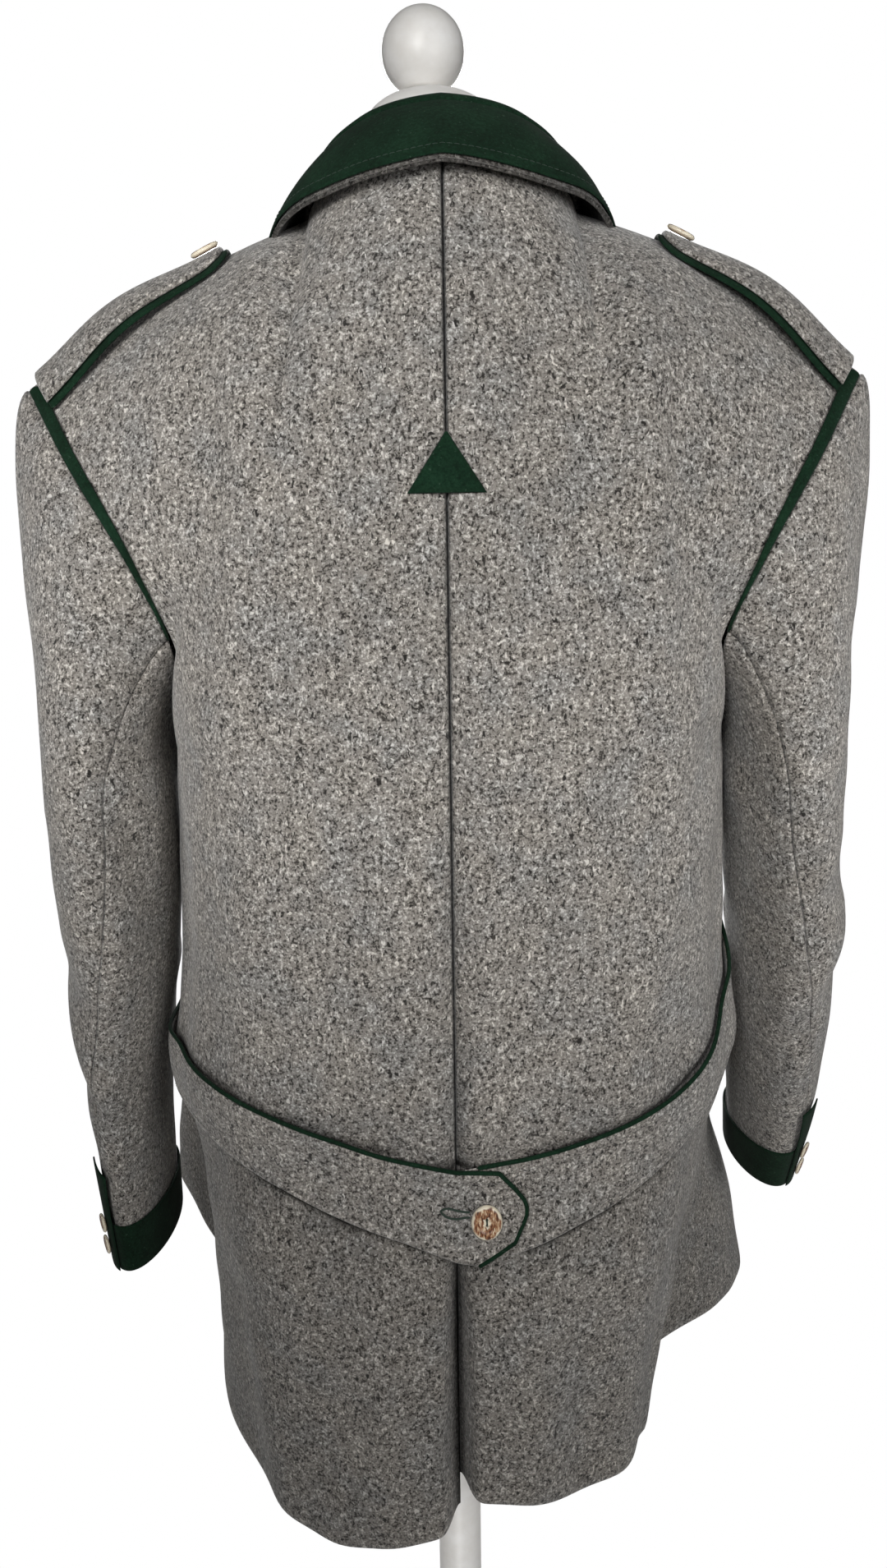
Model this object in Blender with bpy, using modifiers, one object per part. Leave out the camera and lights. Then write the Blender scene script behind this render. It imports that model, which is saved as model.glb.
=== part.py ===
"""Tyrolean loden jacket, open at the front, on a limbless dress form with a round base.

Units are metres, +Z is up, the floor is z = 0 and the form's pole stands on the origin.
The jacket's back faces +Y, its fronts face -Y, and the wearer's left is +X.
"""
import math

import bmesh
import bpy
import numpy as np
from mathutils import Vector

COLLECTION = "tyrolean_loden_jacket"

# ---------------------------------------------------------------- cloth and seams
LODEN = 0.0026          # fulled loden, one layer
FELT = 0.0016           # green cloth of the collar, bands and piping
GAP = 0.0003            # between neighbouring pieces
SEAM_STAND = 0.0005     # between the armhole edge and the sleeve head

# ---------------------------------------------------------------- heights
ARMPIT = 1.200
BELT_LINE = 0.928       # middle of the half belt at the centre back
SIDES = {"left": 1.0, "right": -1.0}

# ---------------------------------------------------------------- body sections
# One row for each height.  Each half section runs from the centre back round the side
# to the free front edge, through the back corner, the side, the side seam, the flare
# below the arm and the front lobe.  x is measured outward from the centre.
SECTION_COLUMNS = ("height", "back_y", "corner_x", "corner_y", "side_x", "side_y",
                   "seam_x", "seam_y", "flare_x", "flare_y", "lobe_x", "lobe_y",
                   "edge_x", "edge_y")
SECTIONS = {
    "left": (
        (1.200, .150, .120, .125, .175, .046, .180, -.022, .164, -.088, .116, -.136, .050, -.158),
        (1.080, .147, .122, .121, .179, .042, .185, -.025, .180, -.095, .150, -.155, .080, -.188),
        (0.955, .138, .120, .114, .184, .036, .190, -.026, .200, -.102, .205, -.178, .125, -.232),
        (0.870, .141, .112, .122, .169, .038, .179, -.026, .198, -.104, .238, -.200, .166, -.268),
        (0.790, .142, .100, .127, .165, .036, .180, -.030, .194, -.106, .253, -.222, .200, -.294),
        (0.690, .140, .088, .131, .162, .033, .182, -.034, .190, -.110, .262, -.244, .230, -.318),
    ),
    "right": (
        (1.200, .150, .120, .125, .175, .046, .180, -.022, .164, -.088, .116, -.136, .050, -.158),
        (1.080, .147, .122, .121, .179, .042, .185, -.025, .180, -.095, .150, -.155, .080, -.188),
        (0.955, .138, .119, .113, .181, .038, .192, -.026, .204, -.095, .205, -.170, .122, -.226),
        (0.870, .141, .114, .117, .160, .040, .178, -.022, .204, -.085, .212, -.166, .150, -.250),
        (0.790, .141, .110, .109, .142, .038, .162, -.020, .211, -.076, .234, -.160, .178, -.262),
        (0.690, .139, .104, .102, .127, .035, .146, -.019, .212, -.067, .250, -.152, .200, -.274),
    ),
}
SECTION_KNOTS = (0.0, 0.18, 0.36, 0.50, 0.64, 0.82, 1.0)
SIDE_SEAM = 0.50

# Hem height along each half section.
HEM_COLUMNS = ("along", "height")
HEM = {
    "left": ((0.0, .704), (.10, .693), (.30, .702), (.50, .712), (.66, .742), (.80, .768), (1.0, .764)),
    "right": ((0.0, .727), (.10, .715), (.30, .719), (.50, .722), (.80, .724), (1.0, .726)),
}

# Soft upright folds: where they run, how deep and how wide.
FOLD_COLUMNS = ("side", "along", "top", "bottom", "depth", "width")
FOLDS = (
    ("left", .235, .860, .700, .0050, .030),
    ("left", .120, .840, .690, -.0045, .040),
    ("right", .300, .880, .700, .0060, .024),
    ("right", .140, .820, .700, -.0040, .040),
    ("left", .330, 1.180, 1.000, -.0030, .040),
    ("right", .330, 1.180, 1.000, -.0030, .040),
)
BELT_NIP = 0.004        # the belt draws the cloth in
BLOUSE = 0.004          # and the back blouses over it
PLEAT_TOP = 1.350       # the inverted pleat starts below the triangle
PLEAT_WIDTH = 0.0075
PLEAT_DEPTH = 0.0050
VENT_DEPTH = 0.0090

# ---------------------------------------------------------------- neck, shoulder, armhole
# Neckline from the centre back over the neck point to the front neck.
NECKLINE_COLUMNS = ("x", "y", "z")
NECKLINE = ((.000, .108, 1.530), (.052, .092, 1.526), (.080, .045, 1.516),
            (.078, -.035, 1.485), (.052, -.110, 1.437))
SHOULDER = ((.080, .045, 1.516), (.140, .045, 1.489), (.200, .045, 1.457), (.254, .045, 1.421))
ARMHOLE_BACK = ((.180, -.022, 1.200), (.1740, .034, 1.232), (.1680, .078, 1.268),
                (.185, .097, 1.312), (.220, .084, 1.368), (.254, .045, 1.421))
ARMHOLE_FRONT = ((.180, -.022, 1.200), (.172, -.072, 1.240), (.178, -.094, 1.290),
                 (.202, -.078, 1.345), (.233, -.030, 1.394), (.254, .045, 1.421))
NECK_SHARE = 0.34       # share of the back panel's top edge that is neckline
SHOULDER_SHARE = 0.50   # share of the front panel's top edge that is shoulder seam
STEADY_BACK = 0.80      # normals beyond these shares of the panels stay the same
STEADY_FRONT = 0.12

# ---------------------------------------------------------------- sleeves
ARM_TOP = 1.165         # where the sleeve head has become a level tube
SLEEVE_COLUMNS = ("height", "centre_x", "centre_y", "radius_x", "radius_y")
SLEEVES = {
    "left": (
        (1.165, .2205, .031, .0405, .0755),
        (1.060, .2250, .014, .0350, .0720),
        (0.980, .2305, -.001, .0275, .0680),
        (0.905, .2315, -.013, .0215, .0645),
        (0.830, .2300, -.022, .0180, .0600),
    ),
    "right": (
        (1.165, -.2215, .010, .0390, .0750),
        (1.080, -.2325, -.010, .0355, .0730),
        (1.010, -.2375, -.030, .0335, .0710),
        (0.910, -.2445, -.072, .0270, .0660),
        (0.842, -.2470, -.103, .0200, .0600),
    ),
}
HEAD_DROP = {"left": 0.55, "right": 0.35}
HEAD_SWELL = {"left": 0.085, "right": 0.062}    # how far the sleeve head leaves the armhole
RING = 20               # points round a sleeve
HIND_SEAM = 6           # ring points from the shoulder tip back to the hind-arm seam
FRONT_SEAM = -6
HEAD_ROWS = 7
ARM_ROWS = 10
SLEEVE_CLEAR = 0.0022    # between a sleeve and the body beside it
BELT_STACK = 0.0062      # belt and piping there
CUFF_HEIGHT = 0.038
CUFF_BAND_WIDTH = 0.022
CUFF_BAND_HEIGHT = 0.085

# ---------------------------------------------------------------- grids of the panels
# Columns run from the centre back to the armhole, and from the armhole to the front edge;
# rows run from -1 at the hem over 0 at the armpit to 1 at the top.
BACK_COLUMNS = np.array([0, .03, .07, .14, .23, .34, .45, .56, .66, .75, .84, .92, 1.0])
FRONT_COLUMNS = np.linspace(0.0, 1.0, 10)
BELOW_ROWS = [-1, -.92, -.84, -.76, -.69, -.63, -.59, -.55, -.51, -.47, -.43, -.38, -.31, -.20, -.10]
BODY_ROWS = np.concatenate([BELOW_ROWS, np.linspace(0.0, 1.0, RING // 2 + 1)])

# ---------------------------------------------------------------- collar
COLLAR_COLUMNS = ("along", "stand_out", "stand_up", "fall_out", "fall_down")
COLLAR = (
    (0.00, -.022, .038, .038, .0425),
    (0.25, -.014, .032, .031, .0415),
    (0.40, -.010, .026, .0335, .0305),
    (0.50, -.008, .022, .034, .0255),
    (0.75, .000, .017, .036, .022),
    (1.00, .008, .014, .032, .044),
)
COLLAR_FOLD = 0.008     # width of the roll at the top of the stand
COLLAR_BOW = 0.007
COLLAR_STAND_OFF = 0.0012     # of the stand's foot from the neckline edge
COLLAR_GAP = 0.0006      # between the two collar layers
COLLAR_LIP = 0.004      # the under collar shows below the fall
COLLAR_ALONG = 24       # columns round the neck
COLLAR_PROFILE = np.array([0, .2, .38, .46, .54, .64, .76, .88, 1.0])    # rows over the fold

# ---------------------------------------------------------------- trims
STRAP_WIDTH = 0.042
STRAP_BACK = 0.005      # the strap's middle line lies this far behind the shoulder seam
STRAP_START = 0.275     # share of the shoulder seam at the strap's neck end
STRAP_END = 0.955
STRAP_ROWS = 8
STRAP_COLUMNS = 7
STRAP_NECK = 0.65       # the neck end's width, as a share
STRAP_SEAT = 0.0012     # over the body
STRAP_ARCH = 0.0045     # and more in the middle, where it bridges the seam
BACKING_SHOWS = 0.0025  # past the strap's edges
STRAP_BUTTON = 0.0095
ARMHOLE_PIPING_COLUMNS = ("rise", "width")
ARMHOLE_PIPING = ((.42, .0035), (.50, .0047), (.60, .0065), (.70, .0080), (.80, .0085), (.90, .0085),
                  (.985, .0085))
TRIANGLE_TOP = 1.383
TRIANGLE_FOOT = 1.350
TRIANGLE_HALF = 0.0215
PIPING_WIDTH = 0.0050
PIPING_LIFT = 0.0010     # off the panel that it is sewn to

# ---------------------------------------------------------------- half belt
# The belt's middle line rises from the centre back round to the sides.
BELT_LINE_COLUMNS = ("distance", "rise")
BELT_RISES = {
    "left": ((.0, .000), (.034, .009), (.074, .020), (.110, .032), (.143, .041), (.190, .050),
             (.260, .056)),
    "right": ((.0, .000), (.045, .006), (.076, .014), (.101, .022), (.130, .034), (.165, .051),
              (.195, .072), (.260, .116)),
}
# Its edges, as offsets from that line at distances from the centre, negative past it.
BELT_EDGE_COLUMNS = ("distance", "above", "below")
BELT_EDGES = {
    "left": ((-.0415, .0020, -.0030), (-.0400, .0070, -.0080), (-.0345, .0150, -.0205),
             (-.0245, .0275, -.0270), (-.0125, .0285, -.0340), (.0000, .0290, -.0320),
             (.0320, .0285, -.0285), (.0650, .0280, -.0280), (.1100, .0260, -.0260),
             (.1700, .0230, -.0230), (.2600, .0210, -.0210)),
    "right": ((-.0300, .0240, -.0220), (.0000, .0270, -.0280), (.0270, .0290, -.0340),
              (.0500, .0290, -.0320), (.0755, .0285, -.0290), (.1100, .0270, -.0270),
              (.1700, .0240, -.0240), (.2600, .0210, -.0210)),
}
BELT_END = 0.485        # share of the half section where the belt is sewn in
BELT_SIDE = {"left": 0.050, "right": 0.095}     # its rise beside the sleeve
BELT_LIFT = 0.0020      # off the back
BELT_OVER = 0.075       # from here on the left piece climbs over the end of the right one
BELT_CLIMB = 0.040      # over this length
PIPED_FROM = 0.031      # the right piece's piping shows from here outward
PIPED_TO = -0.0125      # and the left piece's runs round its point to here

# ---------------------------------------------------------------- buttons
BUTTON_RADIUS = 0.0110
BUTTON_THICKNESS = 0.0038
BUTTON_OVAL = 0.86       # breadth over height
BUTTON_SEAT = 0.0008     # off the cloth
FRONT_SEAT = 0.0011      # on the rounder fronts and straps
BUTTON_STEPS = 14
CUFF_BUTTON = 0.0070
BELT_BUTTON = (-0.0175, -0.0055)    # distance from the centre and offset up on the belt
CUFF_BUTTONS = (0.018, 0.036)       # heights over the cuff's edge
FRONT_BUTTONS = (-0.36, -0.08, 0.22, 0.54)    # places between hem, armpit and neck
FRONT_BUTTON_LINE = 0.90            # share of the front's breadth

# ---------------------------------------------------------------- dress form and stand
FORM_COLUMNS = ("height", "centre_y", "half_width", "half_depth", "squareness")
FORM = (
    (0.790, -.010, .1000, .0800, 2.2),
    (0.800, -.010, .1180, .0950, 2.2),
    (0.860, -.008, .1400, .1120, 2.3),
    (0.955, -.004, .1360, .1060, 2.3),
    (1.050, -.004, .1440, .1080, 2.3),
    (1.180, -.002, .1560, .1180, 2.4),
    (1.290, .004, .1640, .1160, 2.4),
    (1.370, .012, .1900, .0980, 2.3),
    (1.420, .026, .2240, .0820, 2.2),
    (1.450, .044, .2040, .0480, 2.0),
    (1.478, .045, .1550, .0390, 2.0),
    (1.500, .036, .0980, .0400, 2.0),
    (1.525, .026, .0500, .0470, 2.0),
    (1.564, .022, .0425, .0420, 2.0),
)
FORM_CARRIES = 1.400    # above this height the form stays just below the cloth
FORM_SEAT = 0.0003
FORM_RING = 24
NECK_CENTRE = (0.006, 0.022)
NECK_TOP = 1.564
CAP_RADIUS = 0.0420
CAP_RIM = 0.0050
CAP_DOME = 0.0247
KNOB_RADIUS = 0.0250
KNOB_SEAT = 0.0120
KNOB_ASIDE = 0.004
POLE_RADIUS = 0.0160
BASE_RADIUS = 0.2100
BASE_THICKNESS = 0.0180

# ---------------------------------------------------------------- colours, linear RGB
GREY_LODEN = (0.250, 0.238, 0.218)
GREEN_CLOTH = (0.010, 0.026, 0.016)
HORN = (0.330, 0.225, 0.140)
FORM_WHITE = (0.760, 0.740, 0.710)
STAND_WHITE = (0.800, 0.790, 0.770)


# ================================================================ curves
def spline(knots, values, at, level_start=False):
    """Smooth curve through values at knots; a level start leaves along x alone."""
    knots = np.asarray(knots, float)
    values = np.asarray(values, float)
    at = np.asarray(at, float)
    step = np.diff(knots)
    slope = np.diff(values, axis=0) / step.reshape((-1,) + (1,) * (values.ndim - 1))
    tangent = np.empty_like(values)
    tangent[0] = slope[0] * (1.1, 0.0, 0.0) if level_start else slope[0]
    tangent[-1] = slope[-1]
    for k in range(1, len(knots) - 1):
        tangent[k] = (slope[k - 1] * step[k] + slope[k] * step[k - 1]) / (step[k] + step[k - 1])
    cell = np.clip(np.searchsorted(knots, at, side="right") - 1, 0, len(step) - 1)
    width = step[cell]
    s = (at - knots[cell]) / width
    extra = (1,) * (values.ndim - 1)
    s = s.reshape(s.shape + extra)
    width = width.reshape(width.shape + extra)
    return ((2 * s**3 - 3 * s**2 + 1) * values[cell] + (s**3 - 2 * s**2 + s) * width * tangent[cell]
            + (3 * s**2 - 2 * s**3) * values[cell + 1] + (s**3 - s**2) * width * tangent[cell + 1])


def hermite(start, end, leave, arrive, v):
    """Cubic from start to end with the two end tangents."""
    v = np.asarray(v, float)[..., None]
    return ((2 * v**3 - 3 * v**2 + 1) * start + (v**3 - 2 * v**2 + v) * leave
            + (3 * v**2 - 2 * v**3) * end + (v**3 - v**2) * arrive)


def even_curve(points, at):
    """Smooth curve through points, its knots spaced by their distances."""
    points = np.asarray(points, float)
    run = np.concatenate([[0.0], np.cumsum(np.linalg.norm(np.diff(points, axis=0), axis=1))])
    return spline(run / run[-1], points, at)


def unit(vectors):
    length = np.linalg.norm(vectors, axis=-1, keepdims=True)
    return vectors / np.maximum(length, 1e-12)


def smooth(x):
    x = np.clip(x, 0.0, 1.0)
    return x * x * (3 - 2 * x)


def mirrored(points, side):
    return np.asarray(points, float) * np.array([SIDES[side], 1.0, 1.0])


# ================================================================ body below the arms
def section_points(side, height):
    """The seven named points of a half section at each height, as (..., 7, 2)."""
    rows = np.array(sorted(SECTIONS[side]))
    found = spline(rows[:, 0], rows[:, 1:], np.clip(height, rows[0, 0], rows[-1, 0]))
    centre = np.stack([np.zeros_like(found[..., 0]), found[..., 0]], axis=-1)
    others = found[..., 1:].reshape(found.shape[:-1] + (6, 2))
    return np.concatenate([centre[..., None, :], others], axis=-2)


def half_section(side, along, height):
    """A point of the half section, x outward: a smooth curve through its named points."""
    named = section_points(side, height)
    knots = np.array(SECTION_KNOTS)
    step = np.diff(knots)
    slope = np.diff(named, axis=-2) / step[:, None]
    tangent = np.empty_like(named)
    tangent[..., 0, :] = slope[..., 0, :] * np.array([1.15, 0.0])
    tangent[..., -1, :] = slope[..., -1, :]
    inner = (slope[..., :-1, :] * step[1:, None] + slope[..., 1:, :] * step[:-1, None])
    tangent[..., 1:-1, :] = inner / (step[1:] + step[:-1])[:, None]
    cell = np.clip(np.searchsorted(knots, along, side="right") - 1, 0, len(step) - 1)
    width = step[cell][..., None]
    s = ((along - knots[cell]) / step[cell])[..., None]
    pick = cell[..., None, None]
    p0 = np.take_along_axis(named, pick, axis=-2)[..., 0, :]
    p1 = np.take_along_axis(named, pick + 1, axis=-2)[..., 0, :]
    m0 = np.take_along_axis(tangent, pick, axis=-2)[..., 0, :]
    m1 = np.take_along_axis(tangent, pick + 1, axis=-2)[..., 0, :]
    return ((2 * s**3 - 3 * s**2 + 1) * p0 + (s**3 - 2 * s**2 + s) * width * m0
            + (3 * s**2 - 2 * s**3) * p1 + (s**3 - s**2) * width * m1)


def body_point(side, along, height, creased=True):
    """Outer surface of the body at a share of the half section and a height."""
    along = np.asarray(along, float)
    height = np.asarray(height, float) + 0.0 * along
    along = along + 0.0 * height
    flat = half_section(side, along, height)
    outward = unit(flat - np.array([0.0, -0.03]))
    push = np.zeros_like(along)
    for fold_side, place, top, bottom, depth, width in FOLDS:
        if fold_side == side:
            span = smooth((top - height) / 0.06) * smooth((height - bottom) / 0.06 + 1.0)
            push = push + depth * span * np.exp(-((along - place) / width) ** 2)
    above = (height - BELT_LINE - 0.062) / 0.028
    push = push + BLOUSE * np.exp(-above**2) - BELT_NIP * np.exp(-((height - BELT_LINE) / 0.03) ** 2)
    flat = flat + outward * push[..., None]
    if creased:
        deep = PLEAT_DEPTH * smooth((PLEAT_TOP - height) / 0.05)
        deep = deep + VENT_DEPTH * smooth((BELT_LINE - 0.03 - height) / 0.06)
        roll = deep * np.exp(-(flat[..., 0] / PLEAT_WIDTH) ** 2)
        flat = flat - roll[..., None] * np.array([0.0, 1.0])
    point = np.concatenate([flat, height[..., None]], axis=-1)
    return mirrored(point, side)


def hem_height(side, along):
    rows = np.array(HEM[side])
    return spline(rows[:, 0], rows[:, 1], along)


# ================================================================ body above the arms
def neckline(side, along):
    return mirrored(half_neckline(along), side)


def half_neckline(along):
    return spline((0.0, .25, .5, .75, 1.0), NECKLINE, along, level_start=True)


def shoulder(side, along):
    return mirrored(even_curve(SHOULDER, along), side)


def armhole(side, half, rise):
    """Armhole edge from the underarm, rise 0, to the shoulder tip, rise 1."""
    return mirrored(even_curve(ARMHOLE_BACK if half == "back" else ARMHOLE_FRONT, rise), side)


def column(bottom, below, top, lean, v):
    length = np.linalg.norm(top - bottom, axis=-1, keepdims=True)
    return hermite(bottom, top, below * length, lean * length, v)


def back_upper(side, u, v, creased=True):
    """Back between armpit and neck or shoulder; u from the centre to the armhole."""
    u, v = np.broadcast_arrays(np.asarray(u, float), np.asarray(v, float))
    along = u * SIDE_SEAM
    bottom = body_point(side, along, np.full_like(u, ARMPIT), creased)
    below = unit(bottom - body_point(side, along, np.full_like(u, ARMPIT - 0.01), creased))
    neck = neckline(side, 0.5 * np.clip(u / NECK_SHARE, 0, 1))
    seam = shoulder(side, np.clip((u - NECK_SHARE) / (1 - NECK_SHARE), 0, 1))
    on_neck = (u < NECK_SHARE)[..., None]
    top = np.where(on_neck, neck, seam)
    turn = smooth((u - 0.10) / 0.40)[..., None]
    lean = (1 - turn) * np.array([0.0, -0.42, 0.80]) + turn * np.array([0.0, -1.10, 0.0])
    point = column(bottom, below, top, lean, v)
    edge_bottom = body_point(side, np.full_like(u, SIDE_SEAM), np.full_like(u, ARMPIT))
    edge_top = shoulder(side, np.ones_like(u))
    edge = column(edge_bottom, np.array([0.0, 0.0, 1.0]), edge_top, np.array([0.0, -1.10, 0.0]), v)
    pull = u**1.3 * smooth(u / 0.6)
    return point + pull[..., None] * (armhole(side, "back", v) - edge)


def front_upper(side, u, v):
    """Front between armpit and shoulder or neck; u from the armhole to the front edge."""
    u, v = np.broadcast_arrays(np.asarray(u, float), np.asarray(v, float))
    along = SIDE_SEAM + u * (1 - SIDE_SEAM)
    bottom = body_point(side, along, np.full_like(u, ARMPIT))
    below = unit(bottom - body_point(side, along, np.full_like(u, ARMPIT - 0.01)))
    seam = shoulder(side, 1 - np.clip(u / SHOULDER_SHARE, 0, 1))
    neck = neckline(side, 0.5 + 0.5 * np.clip((u - SHOULDER_SHARE) / (1 - SHOULDER_SHARE), 0, 1))
    top = np.where((u < SHOULDER_SHARE)[..., None], seam, neck)
    turn = smooth((u - 0.40) / 0.45)[..., None]
    lean = (1 - turn) * np.array([0.0, 1.10, 0.0]) + turn * np.array([0.0, 0.20, 0.90])
    point = column(bottom, below, top, lean, v)
    edge_bottom = body_point(side, np.full_like(u, SIDE_SEAM), np.full_like(u, ARMPIT))
    edge_top = shoulder(side, np.ones_like(u))
    edge = column(edge_bottom, np.array([0.0, 0.0, 1.0]), edge_top, np.array([0.0, 1.10, 0.0]), v)
    return point + ((1 - u) ** 3)[..., None] * (armhole(side, "front", v) - edge)


def back_surface(side, u, h, creased=True):
    """The whole back panel: h from -1 at the hem over 0 at the armpit to 1 at the top."""
    u, h = np.broadcast_arrays(np.asarray(u, float), np.asarray(h, float))
    along = u * SIDE_SEAM
    hem = hem_height(side, along)
    low = body_point(side, along, ARMPIT + np.minimum(h, 0) * (ARMPIT - hem), creased)
    high = back_upper(side, np.clip(u, 0, 1), np.clip(h, 0, 1), creased)
    return np.where((h <= 0)[..., None], low, high)


def front_surface(side, u, h):
    u, h = np.broadcast_arrays(np.asarray(u, float), np.asarray(h, float))
    along = SIDE_SEAM + u * (1 - SIDE_SEAM)
    hem = hem_height(side, np.clip(along, 0, 1))
    low = body_point(side, along, ARMPIT + np.minimum(h, 0) * (ARMPIT - hem))
    high = front_upper(side, np.clip(u, 0, 1), np.clip(h, 0, 1))
    return np.where((h <= 0)[..., None], low, high)


def normals(surface, side, u, h, step=2e-4):
    """Outward normals of a panel; along the armhole they are taken a little way in."""
    inset = np.minimum(u, STEADY_BACK) if surface is back_surface else np.maximum(u, STEADY_FRONT)
    u = u + (inset - u) * smooth(h / 0.1)
    du = surface(side, u + step, h) - surface(side, u - step, h)
    dh = surface(side, u, h + step) - surface(side, u, h - step)
    return unit(np.cross(dh, du)) * SIDES[side]


# ================================================================ meshes
def material(name, colour, roughness):
    made = bpy.data.materials.new(name)
    made.use_nodes = True
    shader = made.node_tree.nodes["Principled BSDF"]
    shader.inputs["Base Color"].default_value = (*colour, 1.0)
    shader.inputs["Roughness"].default_value = roughness
    shader.inputs["Metallic"].default_value = 0.0
    made.diffuse_color = (*colour, 1.0)
    return made


def add_object(name, mesh, finish, parent):
    mesh.materials.clear()
    mesh.materials.append(finish)
    made = bpy.data.objects.new(name, mesh)
    made.parent = parent
    bpy.data.collections[COLLECTION].objects.link(made)
    return made


def wall(name, outer, inner, finish, parent, closed=False):
    """A closed wall between two lofted surfaces, given as rows and columns of points."""
    outer = np.asarray(outer)
    inner = np.asarray(inner)
    rows, cols = outer.shape[:2]
    bm = bmesh.new()
    skin = [[bm.verts.new(p) for p in row] for row in outer]
    lining = [[bm.verts.new(p) for p in row] for row in inner]
    span = cols if closed else cols - 1
    for i in range(rows - 1):
        for j in range(span):
            k = (j + 1) % cols
            bm.faces.new((skin[i][j], skin[i][k], skin[i + 1][k], skin[i + 1][j]))
            bm.faces.new((lining[i][j], lining[i + 1][j], lining[i + 1][k], lining[i][k]))
    for j in range(span):
        k = (j + 1) % cols
        bm.faces.new((skin[0][k], skin[0][j], lining[0][j], lining[0][k]))
        bm.faces.new((skin[-1][j], skin[-1][k], lining[-1][k], lining[-1][j]))
    if not closed:
        for i in range(rows - 1):
            bm.faces.new((skin[i][0], skin[i + 1][0], lining[i + 1][0], lining[i][0]))
            bm.faces.new((skin[i + 1][-1], skin[i][-1], lining[i][-1], lining[i + 1][-1]))
    bmesh.ops.triangulate(bm, faces=bm.faces, quad_method="FIXED")
    bmesh.ops.recalc_face_normals(bm, faces=bm.faces)
    if bm.calc_volume(signed=True) < 0:
        bmesh.ops.reverse_faces(bm, faces=bm.faces)
    mesh = bpy.data.meshes.new(name)
    bm.to_mesh(mesh)
    bm.free()
    mesh.shade_smooth()
    mesh.set_sharp_from_angle(angle=math.radians(50))
    return add_object(name, mesh, finish, parent)


def retreat(points, first_col=0.0, last_col=0.0, last_row=0.0):
    """Draw the edges of a grid in, so that its neighbour keeps its seam gap."""
    points = points.copy()
    if first_col:
        points[:, 0] += unit(points[:, 1] - points[:, 0]) * first_col
    if last_col:
        points[:, -1] += unit(points[:, -2] - points[:, -1]) * last_col
    if last_row:
        points[-1] += unit(points[-2] - points[-1]) * last_row
    return points


# ================================================================ body panels
def panel_grid(surface, side, columns):
    """Outer and inner points of a panel; both panels share one normal on the shoulder seam."""
    u, h = np.meshgrid(columns, BODY_ROWS)
    outer = surface(side, u, h)
    normal = normals(surface, side, u, h)
    on_seam = columns >= NECK_SHARE if surface is back_surface else columns <= SHOULDER_SHARE
    heading = np.gradient(outer[-1], axis=0) * np.array([1.0, 0.0, 1.0])
    seam_normal = unit(np.cross(np.array([0.0, 1.0, 0.0]), heading))
    seam_normal *= np.sign(seam_normal[:, 2:])
    normal[-1] = np.where(on_seam[:, None], seam_normal, normal[-1])
    return outer, outer - normal * LODEN


def on_back(side, u, h):
    """A point on the flat facets of the back panel."""
    grid = back_surface(side, *np.meshgrid(BACK_COLUMNS, BODY_ROWS))
    i = np.clip(np.searchsorted(BODY_ROWS, h, side="right") - 1, 0, len(BODY_ROWS) - 2)
    j = np.clip(np.searchsorted(BACK_COLUMNS, u, side="right") - 1, 0, len(BACK_COLUMNS) - 2)
    s = ((h - BODY_ROWS[i]) / (BODY_ROWS[i + 1] - BODY_ROWS[i]))[..., None]
    t = ((u - BACK_COLUMNS[j]) / (BACK_COLUMNS[j + 1] - BACK_COLUMNS[j]))[..., None]
    return ((1 - s) * ((1 - t) * grid[i, j] + t * grid[i, j + 1])
            + s * ((1 - t) * grid[i + 1, j] + t * grid[i + 1, j + 1]))


def build_body(side, finish, parent):
    for part, surface, columns in (("back", back_surface, BACK_COLUMNS),
                                   ("front", front_surface, FRONT_COLUMNS)):
        outer, inner = panel_grid(surface, side, columns)
        if part == "back":
            inner[:, 0, 0] = outer[:, 0, 0]
            edges = dict(first_col=GAP / 2, last_col=GAP / 2, last_row=GAP / 2)
        else:
            edges = dict(first_col=GAP / 2, last_row=GAP / 2)
        wall(f"{part}_{side}", retreat(outer, **edges), retreat(inner, **edges), finish, parent)


# ================================================================ sleeves
def armhole_ring(side):
    """Armhole points and body normals round the ring, from the shoulder tip backwards."""
    rises = np.linspace(0.0, 1.0, RING // 2 + 1)
    back = armhole(side, "back", rises)[::-1]
    front = armhole(side, "front", rises)
    back_normal = normals(back_surface, side, np.ones_like(rises), rises)[::-1]
    front_normal = normals(front_surface, side, np.zeros_like(rises), rises)
    points = np.concatenate([back, front[1:-1]])
    return points, np.concatenate([back_normal, front_normal[1:-1]])


def ring_angles(height):
    """Ring angles at a height; the tube turns so that the hind seam runs outward below."""
    turn = 0.9 * smooth((ARM_TOP - height) / 0.30)
    return 2 * math.pi * np.arange(RING) / RING - turn


def sleeve_ring(side, height, swell=0.0):
    """A level ring of the sleeve below its head."""
    rows = np.array(sorted(SLEEVES[side]))
    x, y, rx, ry = spline(rows[:, 0], rows[:, 1:], height)
    angle = ring_angles(height)
    return np.stack([x + SIDES[side] * (rx + swell) * np.cos(angle),
                     y + (ry + swell) * np.sin(angle), np.full(RING, height)], axis=-1)


def sleeve_bottom(side):
    return min(row[0] for row in SLEEVES[side])


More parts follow.
